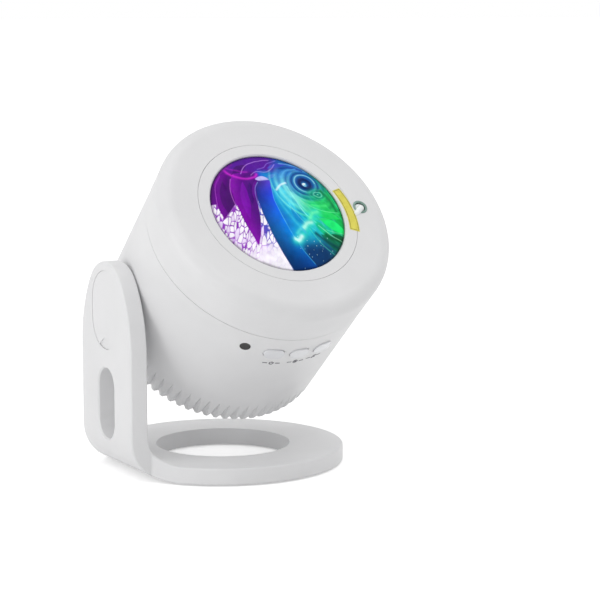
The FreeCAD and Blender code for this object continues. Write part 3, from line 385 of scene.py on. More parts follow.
# Edges of the large blades: (y, x), apart from the purple's lower edge, which is (x, y)
PURPLE_EDGE = [(-40, 6.6), (-33.6, 7.2), (-32.7, -3.3), (-28.0, 1.2), (-23.4, 5.8),
               (-22.0, -8.0), (-19.6, -21.3), (-16.2, -14.7), (-13.1, -5.3), (-11.6, 2.0),
               (-9.0, 12.0)]
BLUE_LEFT = [(-38, -4.2), (-26.7, -7.3), (-14.7, -9.6), (-2.7, -10.6), (6.7, -10.4),
             (14.7, -8.7), (19.3, -6.0)]
BLUE_RIGHT = [(-38, 11.6), (-33, 8.6), (-25.3, 4.4), (-14.7, 1.2), (-4.0, -0.6), (6.7, -1.0),
              (16.0, 0.6), (19.3, 1.6)]
BLUE_TONES = [(-38, (0, 50, 120)), (-28, (0, 76, 150)), (-14, (4, 108, 190)),
              (0, (16, 88, 202)), (10, (32, 58, 190)), (19, (76, 54, 178))]
FIRST_BLADE = [(-4, -33.0), (6.7, -32.7), (18.7, -30.0), (25.3, -25.3), (30, -20.0)]
SECOND_BLADE = [(-22, -20.0), (5.6, -23.4), (16.0, -22.7), (22.7, -20.0), (28.0, -16.0)]
PURPLE_TOP = 26

# Blades of the purple part: edge, dark colour, light colour, how far the dark reaches; the dark is
# painted shade down each blade from its raised edge
BLADES = ((FIRST_BLADE, (58, 0, 92), (108, 2, 144), 9.0),
          (SECOND_BLADE, (72, 0, 118), (134, 6, 172), 9.5))

# The eye of the ripples, the bands that run round under it, and its discs; the two small pale
# discs set off from its middle are a painted highlight
EYE, EYE_RADIUS, EYE_PITCH, EYE_REACH = (22.0, 17.0), 5.4, 3.1, 12.5
ORBIT_CYAN, ORBIT_GREEN = (132, 238, 236), (40, 214, 104)
ORBIT_SQUASH, ORBIT_SPIRAL = 0.92, 0.018
HALO, TROUGH, CREST = (60, 160, 206), (8, 54, 130), (186, 244, 246)
# Radius, half width, strength
ORBITS = ((10.4, 0.8, 0.85), (13.4, 2.0, 0.9), (17.2, 1.5, 0.75), (20.4, 0.7, 0.7))
# Offset from the eye, radius where it begins, radius where it is full, colour, strength
EYE_DISCS_AND_HIGHLIGHT = (((0.0, 0.0), EYE_RADIUS, EYE_RADIUS - 2.0, (4, 34, 92), 0.95),
             ((0.0, 0.0), 2.9, 1.2, (40, 120, 190), 0.7),
             ((-0.5, -0.6), 1.9, 0.9, (150, 226, 244), 0.8),
             ((-0.8, -0.2), 1.0, 0.5, (240, 252, 255), 1.0))
POOL, POOL_PITCH, POOL_REACH, POOL_SQUASH = (27.0, 9.5), 2.6, 6.5, 1.5
POOL_TINT, POOL_CREST, POOL_TROUGH = (30, 210, 120), (196, 255, 222), (4, 96, 84)

# Frosted cells, and beads at the lower right
WHITE_GLASS, LILAC, STROKE_PURPLE = (247, 243, 252), (216, 186, 240), (142, 58, 186)
STROKE_BLUE, BEAD = (40, 90, 190), (196, 240, 240)
CELL_SEED, CELL_COUNT, CELL_FIELD, CELL_LEAN = 11, 230, ((-40, -40), (0, 10)), 24
CELL_NARROW, CELL_LONG, TONE_STEP, LILAC_FROM = 1.35, 0.5, 0.618, 0.7
BEAD_SEED, BEAD_COUNT, BEAD_FIELD, BEAD_SIZES = 5, 58, ((2, -37), (31, -14)), (0.18, 0.5)
BEAD_SQUASH = 1.5

# Heights of the relief
FAN_HEIGHT, BLADE_HEIGHT, LEAF_HEIGHT, BLUE_HEIGHT = 0.10, 0.45, 0.22, 0.55
ORBIT_HEIGHT, EYE_HEIGHT, POOL_HEIGHT, GLINT_HEIGHT = 0.12, 0.30, 0.2, 0.1
GLASS_HEIGHT, STROKE_DEPTH, BEAD_HEIGHT = 0.22, 0.25, 0.12
RIM_WIDTH, RIM_SHADE = 1.6, 0.35

# How much glints follow the fan's bend, and how much narrower they are than written
GLINT_BEND, GLINT_NARROW = 0.15, 0.95

# Bright and dark lines: points, half width, colour, strength
GLINTS = (
    ([(-21.5, 29.0), (-19.6, 25.6), (-16.4, 23.0), (-11.0, 21.8), (-6.4, 22.6), (-4.4, 24.6)],
     0.9, (206, 44, 206), 0.85),
    ([(-13.5, 25.4), (-10.2, 29.5), (-5.8, 32.4), (1.0, 34.0), (7.0, 34.4)],
     0.28, (196, 150, 238), 0.8),
    ([(-2.4, 28.0), (1.5, 29.0), (5.0, 31.8), (10.5, 33.6)], 0.3, (150, 128, 232), 0.7),
    ([(-8.0, 24.0), (-4.0, 26.4), (1.0, 25.6), (5.6, 27.8), (9.0, 31.0)],
     0.3, (206, 180, 244), 0.6),
    ([(-32.8, -2.0), (-32.9, 6.7), (-30.2, 18.7), (-25.6, 25.0)], 0.24, (196, 96, 220), 0.7),
    ([(-19.9, -20.0), (-22.6, -6.0), (-23.5, 5.6), (-22.9, 16.0), (-20.4, 22.4)],
     0.26, (214, 120, 230), 0.75),
    ([(-6.2, 18.8), (-9.0, 14.6), (-10.8, 6.7), (-11.0, -2.7), (-10.0, -14.7), (-7.7, -26.7),
      (-4.8, -36.0)], 0.3, (150, 190, 250), 0.6),
    ([(0.8, 16.0), (-0.8, 6.7), (-0.4, -4.0), (1.4, -14.7), (4.6, -25.3), (9.0, -34.0)],
     0.34, (96, 214, 244), 0.7),
    ([(3.0, 13.0), (6.6, 16.2), (10.0, 17.4)], 0.7, (236, 252, 255), 0.8),
    ([(10.0, 15.0), (11.4, 6.7), (13.4, -2.7), (18.0, -9.0)], 0.45, (150, 244, 236), 0.75),
    ([(6.0, 10.0), (7.6, 0.0), (11.0, -8.0), (16.0, -14.0)], 0.25, (130, 232, 240), 0.55),
    ([(2.6, -20.4), (6.0, -18.6), (11.0, -13.4), (16.6, -7.0), (21.0, -2.0)],
     3.1, (40, 214, 190), 0.8),
    ([(2.6, -19.0), (4.4, -19.6), (6.8, -17.4)], 1.6, (214, 252, 248), 0.95),
    ([(5.0, -15.2), (7.2, -13.0), (10.6, -11.6)], 1.1, (96, 232, 226), 0.7),
    ([(9.6, -12.4), (12.6, -9.6), (15.4, -9.0)], 1.5, (186, 252, 232), 0.85),
    ([(15.4, -6.6), (18.0, -3.4), (21.8, -2.2)], 1.2, (110, 248, 180), 0.75),
    ([(20.4, 2.4), (24.6, 1.4), (29.0, 2.0)], 0.8, (70, 240, 130), 0.7),
    ([(1.6, 12.0), (2.6, 3.0), (5.6, -7.0), (9.6, -15.0)], 0.9, (60, 190, 226), 0.7),
    ([(16.0, -16.0), (20.6, -20.6), (26.4, -24.6)], 1.2, (0, 66, 74), 0.75),
    ([(22.0, -16.6), (27.6, -20.0), (32.0, -20.4)], 1.4, (0, 74, 40), 0.8),
    ([(30.0, 12.0), (33.0, 6.0), (34.4, -1.0)], 1.0, (0, 118, 66), 0.75),
    ([(27.6, 24.0), (31.6, 18.6), (34.6, 12.0)], 0.9, (18, 150, 130), 0.7),
    ([(12.0, 31.6), (19.0, 30.4), (26.0, 26.4)], 0.5, (120, 186, 240), 0.8),
    ([(10.4, 28.0), (17.0, 28.4), (23.6, 26.0)], 0.4, (20, 44, 140), 0.8),
    ([(9.0, 21.6), (13.4, 26.0), (20.0, 27.4)], 0.7, (90, 176, 232), 0.7),
    ([(-30.0, 20.0), (-24.0, 27.6), (-16.0, 32.6)], 0.8, (136, 16, 170), 0.7),
    ([(-20.0, 30.4), (-14.0, 27.4), (-9.4, 26.4)], 0.6, (190, 40, 196), 0.5),
    ([(13.0, -13.0), (17.0, -22.0), (23.0, -29.0)], 0.3, (90, 226, 180), 0.6),
    ([(19.0, -11.0), (25.0, -17.0), (31.6, -21.8)], 0.3, (170, 250, 200), 0.7),
    ([(15.0, 6.0), (20.0, 1.0), (27.0, -2.0), (35.0, -2.4)], 0.3, (120, 250, 170), 0.6),
    ([(23.0, -13.6), (29.0, -15.4), (35.0, -16.6)], 0.24, (150, 248, 190), 0.55),
    ([(33.6, 14.0), (35.8, 6.0), (36.4, 0.0)], 0.35, (60, 220, 170), 0.6),
)

# Leaf-shaped patches: middle, half length, half width, lean in degrees, colour, strength
LEAVES = (
    ((29.0, -11.0), 9.0, 3.2, -38.0, (28, 240, 118), 0.95),
    ((27.0, -4.0), 8.5, 2.6, -14.0, (24, 222, 96), 0.8),
    ((21.0, -13.0), 8.0, 2.4, -62.0, (10, 196, 120), 0.75),
    ((32.0, 2.5), 5.0, 2.2, 78.0, (10, 110, 78), 0.7),
    ((31.0, -20.0), 7.0, 2.6, -40.0, (2, 86, 52), 0.85),
    ((24.0, -22.0), 8.0, 2.6, -52.0, (2, 104, 70), 0.8),
    ((6.5, 6.0), 10.0, 3.2, 98.0, (40, 196, 232), 0.8),
    ((8.6, -5.0), 7.0, 2.0, 108.0, (12, 118, 190), 0.6),
    ((14.6, 3.0), 10.0, 2.2, 118.0, (150, 240, 214), 0.7),
    ((-2.6, 21.2), 4.2, 1.9, -4.0, (196, 190, 244), 0.95),
    ((3.4, 22.6), 3.4, 1.3, 24.0, (76, 120, 214), 0.8),
    ((12.6, 24.4), 6.0, 2.4, 24.0, (36, 112, 204), 0.75),
    ((20.0, 28.4), 7.0, 2.0, -28.0, (34, 86, 186), 0.8),
    ((10.0, 30.2), 7.0, 1.6, 12.0, (64, 62, 196), 0.75),
    ((-13.0, 29.0), 6.0, 2.4, 30.0, (64, 0, 104), 0.8),
    ((-27.5, 10.0), 12.0, 3.0, 82.0, (66, 0, 100), 0.7),
    ((-17.0, 8.0), 13.0, 2.6, 80.0, (136, 10, 186), 0.55),
    ((-12.6, 12.0), 8.0, 1.8, 76.0, (58, 0, 112), 0.6),
    ((-9.6, 14.0), 7.0, 1.5, 66.0, (104, 8, 150), 0.7),
    ((11.4, 1.0), 9.0, 1.7, 104.0, (0, 128, 176), 0.7),
    ((17.0, -1.0), 8.0, 1.6, 122.0, (4, 164, 140), 0.6),
)


class Painting:
    """Colour and relief at places on the lens plane, laid on layer by layer."""

    def __init__(self, x, y):
        self.x, self.y = x, y
        self.bend_x = (x + WAVE[0] * np.sin(y / WAVE[1])
                       + SLANT_WAVE[0] * np.sin((x + y) / SLANT_WAVE[1]))
        self.angle = np.degrees(np.arctan2(self.bend_x - FAN_FROM[0], FAN_FROM[1] - y))
        self.color = along(FAN, self.angle)
        self.rise = FAN_HEIGHT * np.sin(np.radians(self.angle) * FAN_FOLDS)

    def mix(self, color, weight):
        share = np.clip(weight, 0, 1)[:, None]
        self.color += (np.asarray(color, float) - self.color) * share


def paint_fan(art):
    """Streaks of the fan, its blue and violet top, and its dark lower end."""
    x, y, angle = art.x, art.y, art.angle
    streak = np.sin(np.radians(angle) * FAN_STREAKS + 0.7 * np.sin(y / 4)) ** 8
    art.mix(STREAK, 0.28 * streak * smooth_step(6, 20, angle) * smooth_step(62, 40, angle))
    art.mix(TOP_BLUE, 0.85 * smooth_step(8, 21, y + 0.25 * x)
            * smooth_step(-1, 7, x) * smooth_step(34, 26, x))
    art.mix(TOP_VIOLET, smooth_step(24, 29, y + 0.1 * x) * smooth_step(12, 2, x - 0.3 * (y - 26)))
    art.mix(LOW_BLUE, 0.92 * smooth_step(-15, -27, y)
            * smooth_step(3, 8, x) * smooth_step(30, 18, x))
    art.mix(LOW_GREEN, 0.9 * smooth_step(-15, -26, y) * smooth_step(18, 30, x))


def paint_blades(art):
    """Two overlapping purple blades, each darker away from its raised left edge with painted
    shade.
    """
    purple = smooth_step(0.5, -0.5, art.x - along(BLUE_LEFT, art.y)) * (art.y < PURPLE_TOP)
    for edge, dark, light, reach in BLADES:
        into = art.x - along(edge, art.y)
        inside = smooth_step(-0.15, 0.15, into) * purple
        art.mix(light, inside * 0.9)
        # Painted shade that deepens down the blade's slope
        art.mix(dark, inside * smooth_step(0, reach, into) * 0.85)
        art.rise += inside * BLADE_HEIGHT * np.clip(1 - into / reach, 0, 1)


def paint_leaves(art):
    """Small leaves with pointed ends, each a low dome."""
    for middle, length, width, lean, color, strength in LEAVES:
        turn = math.radians(lean)
        across, up = art.x - middle[0], art.y - middle[1]
        u = (across * math.cos(turn) + up * math.sin(turn)) / length
        v = (up * math.cos(turn) - across * math.sin(turn)) / width
        room = np.clip(1 - u * u, 0, 1) - np.abs(v + 0.25 * u * u)
        art.mix(color, smooth_step(0.0, 0.14, room) * strength)
        art.rise += LEAF_HEIGHT * np.clip(room, 0, 1)


def paint_blue(art):
    """The long blue blade from the top to the lower edge."""
    left, right = along(BLUE_LEFT, art.y), along(BLUE_RIGHT, art.y)
    blue = (smooth_step(-0.2, 0.2, art.x - left) * smooth_step(0.2, -0.2, art.x - right)
            * smooth_step(20.5, 19.0, art.y))
    across = np.clip((art.x - left) / (right - left), 0, 1)
    art.mix(along(BLUE_TONES, art.y) * (0.72 + 0.5 * across)[:, None], blue)
    art.rise += blue * BLUE_HEIGHT * np.sin(across * math.pi * 0.7)


def ripple(art, middle, pitch, reach, squash=1.0):
    """Rings that die away from a middle, and the distance itself."""
    away = np.hypot(art.x - middle[0], (art.y - middle[1]) * squash)
    return np.cos(away / pitch * FULL_TURN) * np.exp(-(away / reach) ** 2), away


def paint_eye(art):
    """Bands that run round under the eye, its ripples, whose crests carry painted light that is
    dimmer on one side, and the eye itself with a painted highlight.
    """
    across, up = art.x - EYE[0], art.y - EYE[1]
    turned = np.degrees(np.arctan2(up, across)) % 360
    orbit = np.hypot(across, up * ORBIT_SQUASH) - ORBIT_SPIRAL * (turned - 180)
    under = smooth_step(120, 190, turned) * smooth_step(352, 300, turned)
    green = smooth_step(215, 285, turned)[:, None]
    for radius, width, strength in ORBITS:
        weight = np.exp(-((orbit - radius) / width) ** 2) * under * strength
        art.mix(np.array(ORBIT_CYAN) * (1 - green) + np.array(ORBIT_GREEN) * green, weight)
        art.rise += ORBIT_HEIGHT * weight
    rings, away = ripple(art, EYE, EYE_PITCH, EYE_REACH)
    halo = smooth_step(14.5, 7.0, away) * smooth_step(EYE_RADIUS - 1, EYE_RADIUS + 1, away)
    # Painted light on the crests, dimmer towards the lower right of the eye
    lit = 0.35 + 0.65 * smooth_step(40, 120, np.abs(turned - 330) % 360)
    art.mix(HALO, halo * 0.45)
    art.mix(TROUGH, np.clip(-rings, 0, 1) * halo)
    art.mix(CREST, np.clip(rings, 0, 1) ** 3 * halo * 1.5 * lit)
    # The last two discs are a painted highlight on the eye
    for (right, above), begins, full, color, strength in EYE_DISCS_AND_HIGHLIGHT:
        art.mix(color, smooth_step(begins, full, np.hypot(across - right, up - above)) * strength)
    art.rise += EYE_HEIGHT * rings


def paint_pool(art):
    """Smaller green ripples below the eye."""
    rings, away = ripple(art, POOL, POOL_PITCH, POOL_REACH, POOL_SQUASH)
    weight = smooth_step(9.0, 4.0, away)
    art.mix(POOL_TINT, weight * 0.5)
    art.mix(POOL_CREST, np.clip(rings, 0, 1) ** 4 * weight)
    art.mix(POOL_TROUGH, np.clip(-rings, 0, 1) ** 2 * weight * 0.8)
    art.rise += POOL_HEIGHT * rings


def paint_glints(art):
    """Thin and wide lines with soft sides."""
    bent = art.bend_x * GLINT_BEND + art.x * (1 - GLINT_BEND)
    for points, width, color, strength in GLINTS:
        off = distance_to(points, bent, art.y)
        weight = np.exp(-(off / (width * GLINT_NARROW)) ** 2)
        art.mix(color, weight * strength)
        art.rise += GLINT_HEIGHT * weight


def cells(x, y):
    """Strokes between drawn out cells, and a tone for each cell."""
    rng = np.random.default_rng(CELL_SEED)
    seeds = rng.uniform(*CELL_FIELD, (CELL_COUNT, 2))
    turn = math.radians(CELL_LEAN)
    cos, sin = math.cos(turn), math.sin(turn)
    near = np.full(x.shape, FAR)
    second = near.copy()
    tone = np.zeros(x.shape)
    for index, (sx, sy) in enumerate(seeds):
        dx, dy = x - sx, y - sy
        gap = np.hypot((dx * cos - dy * sin) * CELL_NARROW, (dx * sin + dy * cos) * CELL_LONG)
        closer = gap < near
        second = np.where(closer, near, np.minimum(second, gap))
        tone = np.where(closer, (index * TONE_STEP) % 1.0, tone)
        near = np.where(closer, gap, near)
    return smooth_step(0.42, 0.16, second - near), tone


def paint_glass(art):
    """White frosted glass at the lower left, with strokes that fade to the bottom."""
    x, y = art.x, art.y
    glass = (smooth_step(0.35, -0.35, y - along(PURPLE_EDGE, x))
             * smooth_step(0.3, -0.3, x - along(BLUE_LEFT, y)))
    strokes, tone = cells(x, y)
    strokes *= smooth_step(-30, -16, y - 0.45 * (x + 20)) * 0.95 + 0.05
    art.mix(WHITE_GLASS, glass)
    art.mix(LILAC, glass * (tone > LILAC_FROM) * 0.5 * smooth_step(-34, -12, y))
    art.mix(STROKE_PURPLE, glass * strokes * (0.35 + 0.65 * (tone < LILAC_FROM)))
    art.mix(STROKE_BLUE, glass * strokes * smooth_step(-18, -10, x) * 0.7)
    art.rise += glass * (GLASS_HEIGHT - STROKE_DEPTH * strokes)


def paint_beads(art):
    """Scattered pale beads at the lower right."""
    rng = np.random.default_rng(BEAD_SEED)
    for _ in range(BEAD_COUNT):
        sx, sy = rng.uniform(*BEAD_FIELD)
        size = rng.uniform(*BEAD_SIZES)
        spot = smooth_step(size, size * 0.4,
                           np.hypot((art.x - sx) * BEAD_SQUASH, art.y - sy))
        art.mix(BEAD, spot * 0.8 * (art.y < -16 - 0.1 * art.x))
        art.rise += BEAD_HEIGHT * spot


def paint_rim(art):
    """Darker, flat edge, so that the relief meets the lens's side."""
    rim = smooth_step(LENS_RADIUS - RIM_WIDTH, LENS_RADIUS, np.hypot(art.x, art.y))
    art.color *= (1 - RIM_SHADE * rim)[:, None]
    art.rise *= 1 - rim


def swirl(x, y):
    """Linear colour and relief, in millimetres, of the lens at each place."""
    art = Painting(x, y)
    for layer in (paint_fan, paint_blades, paint_leaves, paint_blue, paint_eye, paint_pool,
                  paint_glints, paint_glass, paint_beads, paint_rim):
        layer(art)
    return linear(np.clip(art.color / 255, 0, 1)), art.rise


def crystal():
    """Domed, skirted lens whose top carries the relief; it closes round underneath."""
    sphere = (LENS_RADIUS ** 2 + LENS_RISE ** 2) / (2 * LENS_RISE)
    low = LENS_EDGE + LENS_RISE - sphere

    def dome(r):
        return low + np.sqrt(sphere ** 2 - r ** 2)

    radii = LENS_RADIUS * np.linspace(0, 1, LENS_ACROSS + 1)[1:]
    turn = np.linspace(0, FULL_TURN, LENS_AROUND, endpoint=False)
    grid_r, grid_a = np.meshgrid(radii, turn, indexing="ij")
    x, y = (grid_r * np.cos(grid_a)).ravel(), (grid_r * np.sin(grid_a)).ravel()
    color, rise = swirl(x, y)
    top_color, top_rise = swirl(np.zeros(1), np.zeros(1))
    points = np.column_stack([x, y, dome(np.hypot(x, y)) + rise])
    under = [(LENS_RADIUS, FLANGE_TOP), (LENS_FLANGE, FLANGE_TOP), (LENS_FLANGE, FLANGE_LOW),
             (LENS_SKIRT, FLANGE_LOW), (LENS_SKIRT, SKIRT_LOW), (SKIRT_INNER, SKIRT_LOW),
             *LENS_BACK]
    below = [(r * math.cos(a), r * math.sin(a), z) for r, z in under for a in turn]
    middles = [(0, 0, float(dome(0) + top_rise[0])), (0, 0, LENS_BACK_MIDDLE)]

    rings = LENS_ACROSS + len(under)
    top, last = rings * LENS_AROUND, (rings - 1) * LENS_AROUND
    bottom = top + 1
    faces = ring_faces(rings, LENS_AROUND)
    faces += [(top, (i + 1) % LENS_AROUND, i) for i in range(LENS_AROUND)]
    faces += [(bottom, last + i, last + (i + 1) % LENS_AROUND) for i in range(LENS_AROUND)]
    faces = [tuple(reversed(face)) for face in faces]
    made = piece("glowing_crystal", points.tolist() + below + middles, faces,
                 glowing_lens("lit_crystal"))

    plain = np.tile(srgb(214, 220, 232), (len(below), 1))
    tones = np.vstack([color, plain, top_color, plain[:1]])
    rows = np.column_stack([tones, np.ones(len(tones))]).astype(np.float32)
    layer = made.data.color_attributes.new("swirl", "FLOAT_COLOR", "POINT")
    layer.data.foreach_set("color", rows.ravel())
    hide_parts("crystal_lens")


# Small print on the case

INK_WIDTH, INK_LOW, INK_HIGH = 0.55, -0.1, 0.06
DASHES = [[(-4.9, 0.0), (-2.3, 0.0)], [(2.3, 0.0), (4.9, 0.0)]]


def on_face(radius, degrees, height):
    """Point over the flat front face."""
    turn = math.radians(degrees)
    return radius * math.cos(turn), radius * math.sin(turn), FACE + height


def on_drum(center, height):
    """Mapping of (across, up, out) millimetres onto the drum about an angle and a height."""
    def place(u, v, out):
        r = out + float(np.interp(height + v, (DRUM_REAR[0], DRUM_FRONT[0]),
                                  (DRUM_REAR[1], DRUM_FRONT[1])))
        turn = math.radians(center) + u / r
        return r * math.cos(turn), r * math.sin(turn), height + v
    return place


def ribbon(run, place, offset):
    """Raised line of ink through flat points: its points and faces, numbered from offset."""
    made, faces = [], []
    closed = run[0] == run[-1]
    run = run[:-1] if closed else run
    rings = len(run)
    for index, (u, v) in enumerate(run):
        before = run[index - 1] if index or closed else run[index]
        after = run[(index + 1) % rings] if index < rings - 1 or closed else run[index]
        du, dv = after[0] - before[0], after[1] - before[1]
        size = math.hypot(du, dv) or 1.0
        nu, nv = -dv / size * INK_WIDTH / 2, du / size * INK_WIDTH / 2
        for side, out in ((1, INK_LOW), (1, INK_HIGH), (-1, INK_HIGH), (-1, INK_LOW)):
            made.append(place(u + side * nu, v + side * nv, out))
    for ring in range(rings if closed else rings - 1):
        here, there = offset + 4 * ring, offset + 4 * ((ring + 1) % rings)
        faces += [(here + i, here + (i + 1) % 4, there + (i + 1) % 4, there + i)
                  for i in range(4)]
    if not closed:
        end = offset + 4 * (rings - 1)
        faces += [(offset + 3, offset + 2, offset + 1, offset), (end, end + 1, end + 2, end + 3)]
    return made, faces


def circle(radius, start=0.0, end=360.0, middle=(0.0, 0.0), count=20):
    """Points of an arc between two angles from the top."""
    turns = [math.radians(start + (end - start) * i / count) for i in range(count + 1)]
    return [(middle[0] + radius * math.sin(turn), middle[1] + radius * math.cos(turn))
            for turn in turns]


def key_marks():
    """Small generic pictograms under the keys, between two short dashes each."""
    ink = printed("grey_ink", srgb(92, 92, 100), srgb(70, 70, 78))
    power = [circle(1.05, 32, 328), [(0.0, 0.35), (0.0, 1.35)]]
    rays = [[(math.sin(a) * r, math.cos(a) * r) for r in (0.95, 1.45)]
            for a in (math.pi / 4 * i for i in range(8))]
    light = [circle(0.55), *rays]
    music = [circle(0.38, middle=(-0.65, -0.75)), circle(0.38, middle=(0.75, -0.55)),
             [(-0.25, -0.75), (-0.25, 1.0), (1.15, 1.25), (1.15, -0.55)]]
    for name, angle, height, strokes in (("power_mark", -98.5, 29.6, power),
                                         ("light_mark", -86.0, 30.0, light),
                                         ("music_mark", -75.6, 30.4, music)):
        points, faces = [], []
        for stroke in strokes + DASHES:
            made, quads = ribbon(stroke, on_drum(angle, height), len(points))
            points += made
            faces += quads
        piece(name, points, faces, ink, smooth=False)


# The plain yellow strip beside the lens, between two angles round the face; it narrows and comes
# closer to the lens from the first to the second

STRIP_START, STRIP_END, STRIP_STEPS, STRIP_WIDE = -20.5, 17.5, 60, 7
STRIP_INNER, STRIP_OUTER, INNER_DROP, OUTER_DROP = 40.0, 45.6, 1.5, 2.2
STRIP_TOP, STRIP_LOW = 0.11, -0.02
BORDER_ANGLE, BORDER_INSET, BORDER_HALF, BORDER_CORNER = 0.9, 0.6, 0.14, 0.2
BORDER_LOW, BORDER_TOP = 0.1, 0.15


def strip_edges(angle):
    """Inner and outer radius of the strip."""
    share = (angle - STRIP_START) / (STRIP_END - STRIP_START)
    return STRIP_INNER - INNER_DROP * share, STRIP_OUTER - OUTER_DROP * share


def face_strip():
    """Film strip with a plain top."""
    wide, steps = STRIP_WIDE, STRIP_STEPS
    points = [on_face(r, angle, height) for height in (STRIP_TOP, STRIP_LOW)
              for angle in np.linspace(STRIP_START, STRIP_END, steps + 1)
              for r in np.linspace(*strip_edges(angle), wide)]
    block = wide * (steps + 1)
    faces = []
    for a in (i * wide + j for i in range(steps) for j in range(wide - 1)):
        faces.append((a, a + 1, a + wide + 1, a + wide))
        faces.append((block + a, block + a + wide, block + a + wide + 1, block + a + 1))
    loop = (list(range(wide))
            + [i * wide + wide - 1 for i in range(1, steps + 1)]
            + [steps * wide + j for j in range(wide - 2, -1, -1)]
            + [i * wide for i in range(steps - 1, 0, -1)])
    faces += [(a, block + a, block + b, b) for a, b in zip(loop, loop[1:] + loop[:1])]
    film = printed("yellow_film", srgb(232, 222, 84), srgb(216, 204, 64), rough=(0.3, 0.42))
    piece("yellow_strip", points, faces, film, smooth=False)


def strip_border():
    """Thin printed line that runs round the strip, just inside its edges."""
    steps = STRIP_STEPS
    angles = np.linspace(STRIP_START + BORDER_ANGLE, STRIP_END - BORDER_ANGLE, steps)
    loop = ([(strip_edges(a)[0] + BORDER_INSET, float(a)) for a in angles]
            + [(strip_edges(a)[1] - BORDER_INSET, float(a)) for a in reversed(angles)])
    corners = (0, steps - 1, steps, 2 * steps - 1)
    points, faces = [], []
    for index, (r, a) in enumerate(loop):
        grow = BORDER_HALF if index < steps else -BORDER_HALF
        lean = (BORDER_CORNER if a > 0 else -BORDER_CORNER) if index in corners else 0.0
        for out, height in ((-1, BORDER_LOW), (-1, BORDER_TOP), (1, BORDER_TOP), (1, BORDER_LOW)):
            points.append(on_face(r + out * grow, a - out * lean, height))
    for ring in range(len(loop)):
        here, there = 4 * ring, 4 * ((ring + 1) % len(loop))
        faces += [(here + i, there + i, there + (i + 1) % 4, here + (i + 1) % 4)
                  for i in range(4)]
    ink = printed("olive_ink", srgb(150, 138, 40), srgb(118, 108, 26))
    piece("strip_border", points, faces, ink, smooth=False)


# Round fittings in the small opening beside the lens: (radius, height over the face) profiles

SLEEVE = [(2.9, -0.8), (2.9, 0.1), (3.2, 0.36), (3.7, 0.4), (4.05, 0.2), (4.1, -0.02),
          (3.14, -0.04), (3.14, -0.8)]
DIFFUSER = [(0.9, -0.14), (1.8, -0.3), (2.5, -0.6), (2.8, -0.8)]
DIFFUSER_TOP, DIFFUSER_LOW = -0.1, -0.8
LASER_AROUND = 48

# Painted highlight: a short white rod with rounded ends that lies beside the sleeve, standing for
# a streak of glare on the opening's wall
HIGHLIGHT_ROD_FROM, HIGHLIGHT_ROD_TO = (49.2, -0.8, FACE - 0.1), (45.6, -3.9, FACE - 0.3)
HIGHLIGHT_ROD_RADIUS, HIGHLIGHT_ROD_END_RADIUS, HIGHLIGHT_ROD_AROUND, HIGHLIGHT_ROD_STEPS = 1.9, 1.5, 28, 7


def turned_piece(name, outline, middles, material):
    """Form turned about the small opening's axis: a ring, or capped at two middle heights."""
    around = LASER_AROUND
    points = [(LASER_PLACE + r * math.cos(FULL_TURN * i / around),
               r * math.sin(FULL_TURN * i / around), FACE + z)
              for r, z in outline for i in range(around)]
    faces = [tuple(reversed(face)) for face in ring_faces(len(outline), around)]
    top, last = len(outline) * around, (len(outline) - 1) * around
    if middles:
        points += [(LASER_PLACE, 0.0, FACE + z) for z in middles]
        faces += [(top, i, (i + 1) % around) for i in range(around)]
        faces += [(top + 1, last + (i + 1) % around, last + i) for i in range(around)]
    else:
        faces += [(i, (i + 1) % around, last + (i + 1) % around, last + i)
                  for i in range(around)]
    piece(name, points, faces, material)


def highlight_rod(material):
    """Rod of painted highlight between two places, from rings that shrink to each rounded end."""
    start, end = Vector(HIGHLIGHT_ROD_FROM), Vector(HIGHLIGHT_ROD_TO)
    run = (end - start).normalized()
    side = run.cross(Vector((0, 0, 1))).normalized()
    up = side.cross(run)
    stations = [(start - run * HIGHLIGHT_ROD_RADIUS * math.cos(t), HIGHLIGHT_ROD_RADIUS * math.sin(t))
                for t in np.linspace(0.15, 1.57, HIGHLIGHT_ROD_STEPS)]
    stations += [(end + run * HIGHLIGHT_ROD_END_RADIUS * math.sin(t), HIGHLIGHT_ROD_END_RADIUS * math.cos(t))
                 for t in np.linspace(0.0, 1.42, HIGHLIGHT_ROD_STEPS)]
    points = [middle + (side * math.cos(a) + up * math.sin(a)) * radius
              for middle, radius in stations
              for a in np.linspace(0, FULL_TURN, HIGHLIGHT_ROD_AROUND, endpoint=False)]
    faces = ring_faces(len(stations), HIGHLIGHT_ROD_AROUND)
    faces.append(tuple(reversed(range(HIGHLIGHT_ROD_AROUND))))
    faces.append(tuple(range(len(points) - HIGHLIGHT_ROD_AROUND, len(points))))
    piece("laser_highlight_rod", points, faces, material)


def laser_trim():
    """Grey-green bezel round the laser window, its white middle and a white rod of painted
    highlight; the bezel's grey-green is partly the wall's own tint and partly painted shade.
    """
    # White of the window's middle, also used for the rod of painted highlight
    white = moulded("diffuser_and_highlight_white", srgb(250, 252, 252), srgb(240, 245, 245),
                    rough=(0.14, 0.22), grain=900.0, depth=0.00001, coat=0.3)
    # Grey-green: partly the tint of the opening's wall, partly painted shade on it
    green = moulded("sleeve_green_and_shade", srgb(136, 168, 156), srgb(100, 134, 122),
                    rough=(0.2, 0.3), grain=900.0, depth=0.00001, coat=0.2)
    turned_piece("laser_sleeve", SLEEVE, (), green)
    turned_piece("laser_diffuser", DIFFUSER, (DIFFUSER_TOP, DIFFUSER_LOW), white)
    # White rod of painted highlight beside the window
    highlight_rod(white)


# Camera, light and floor

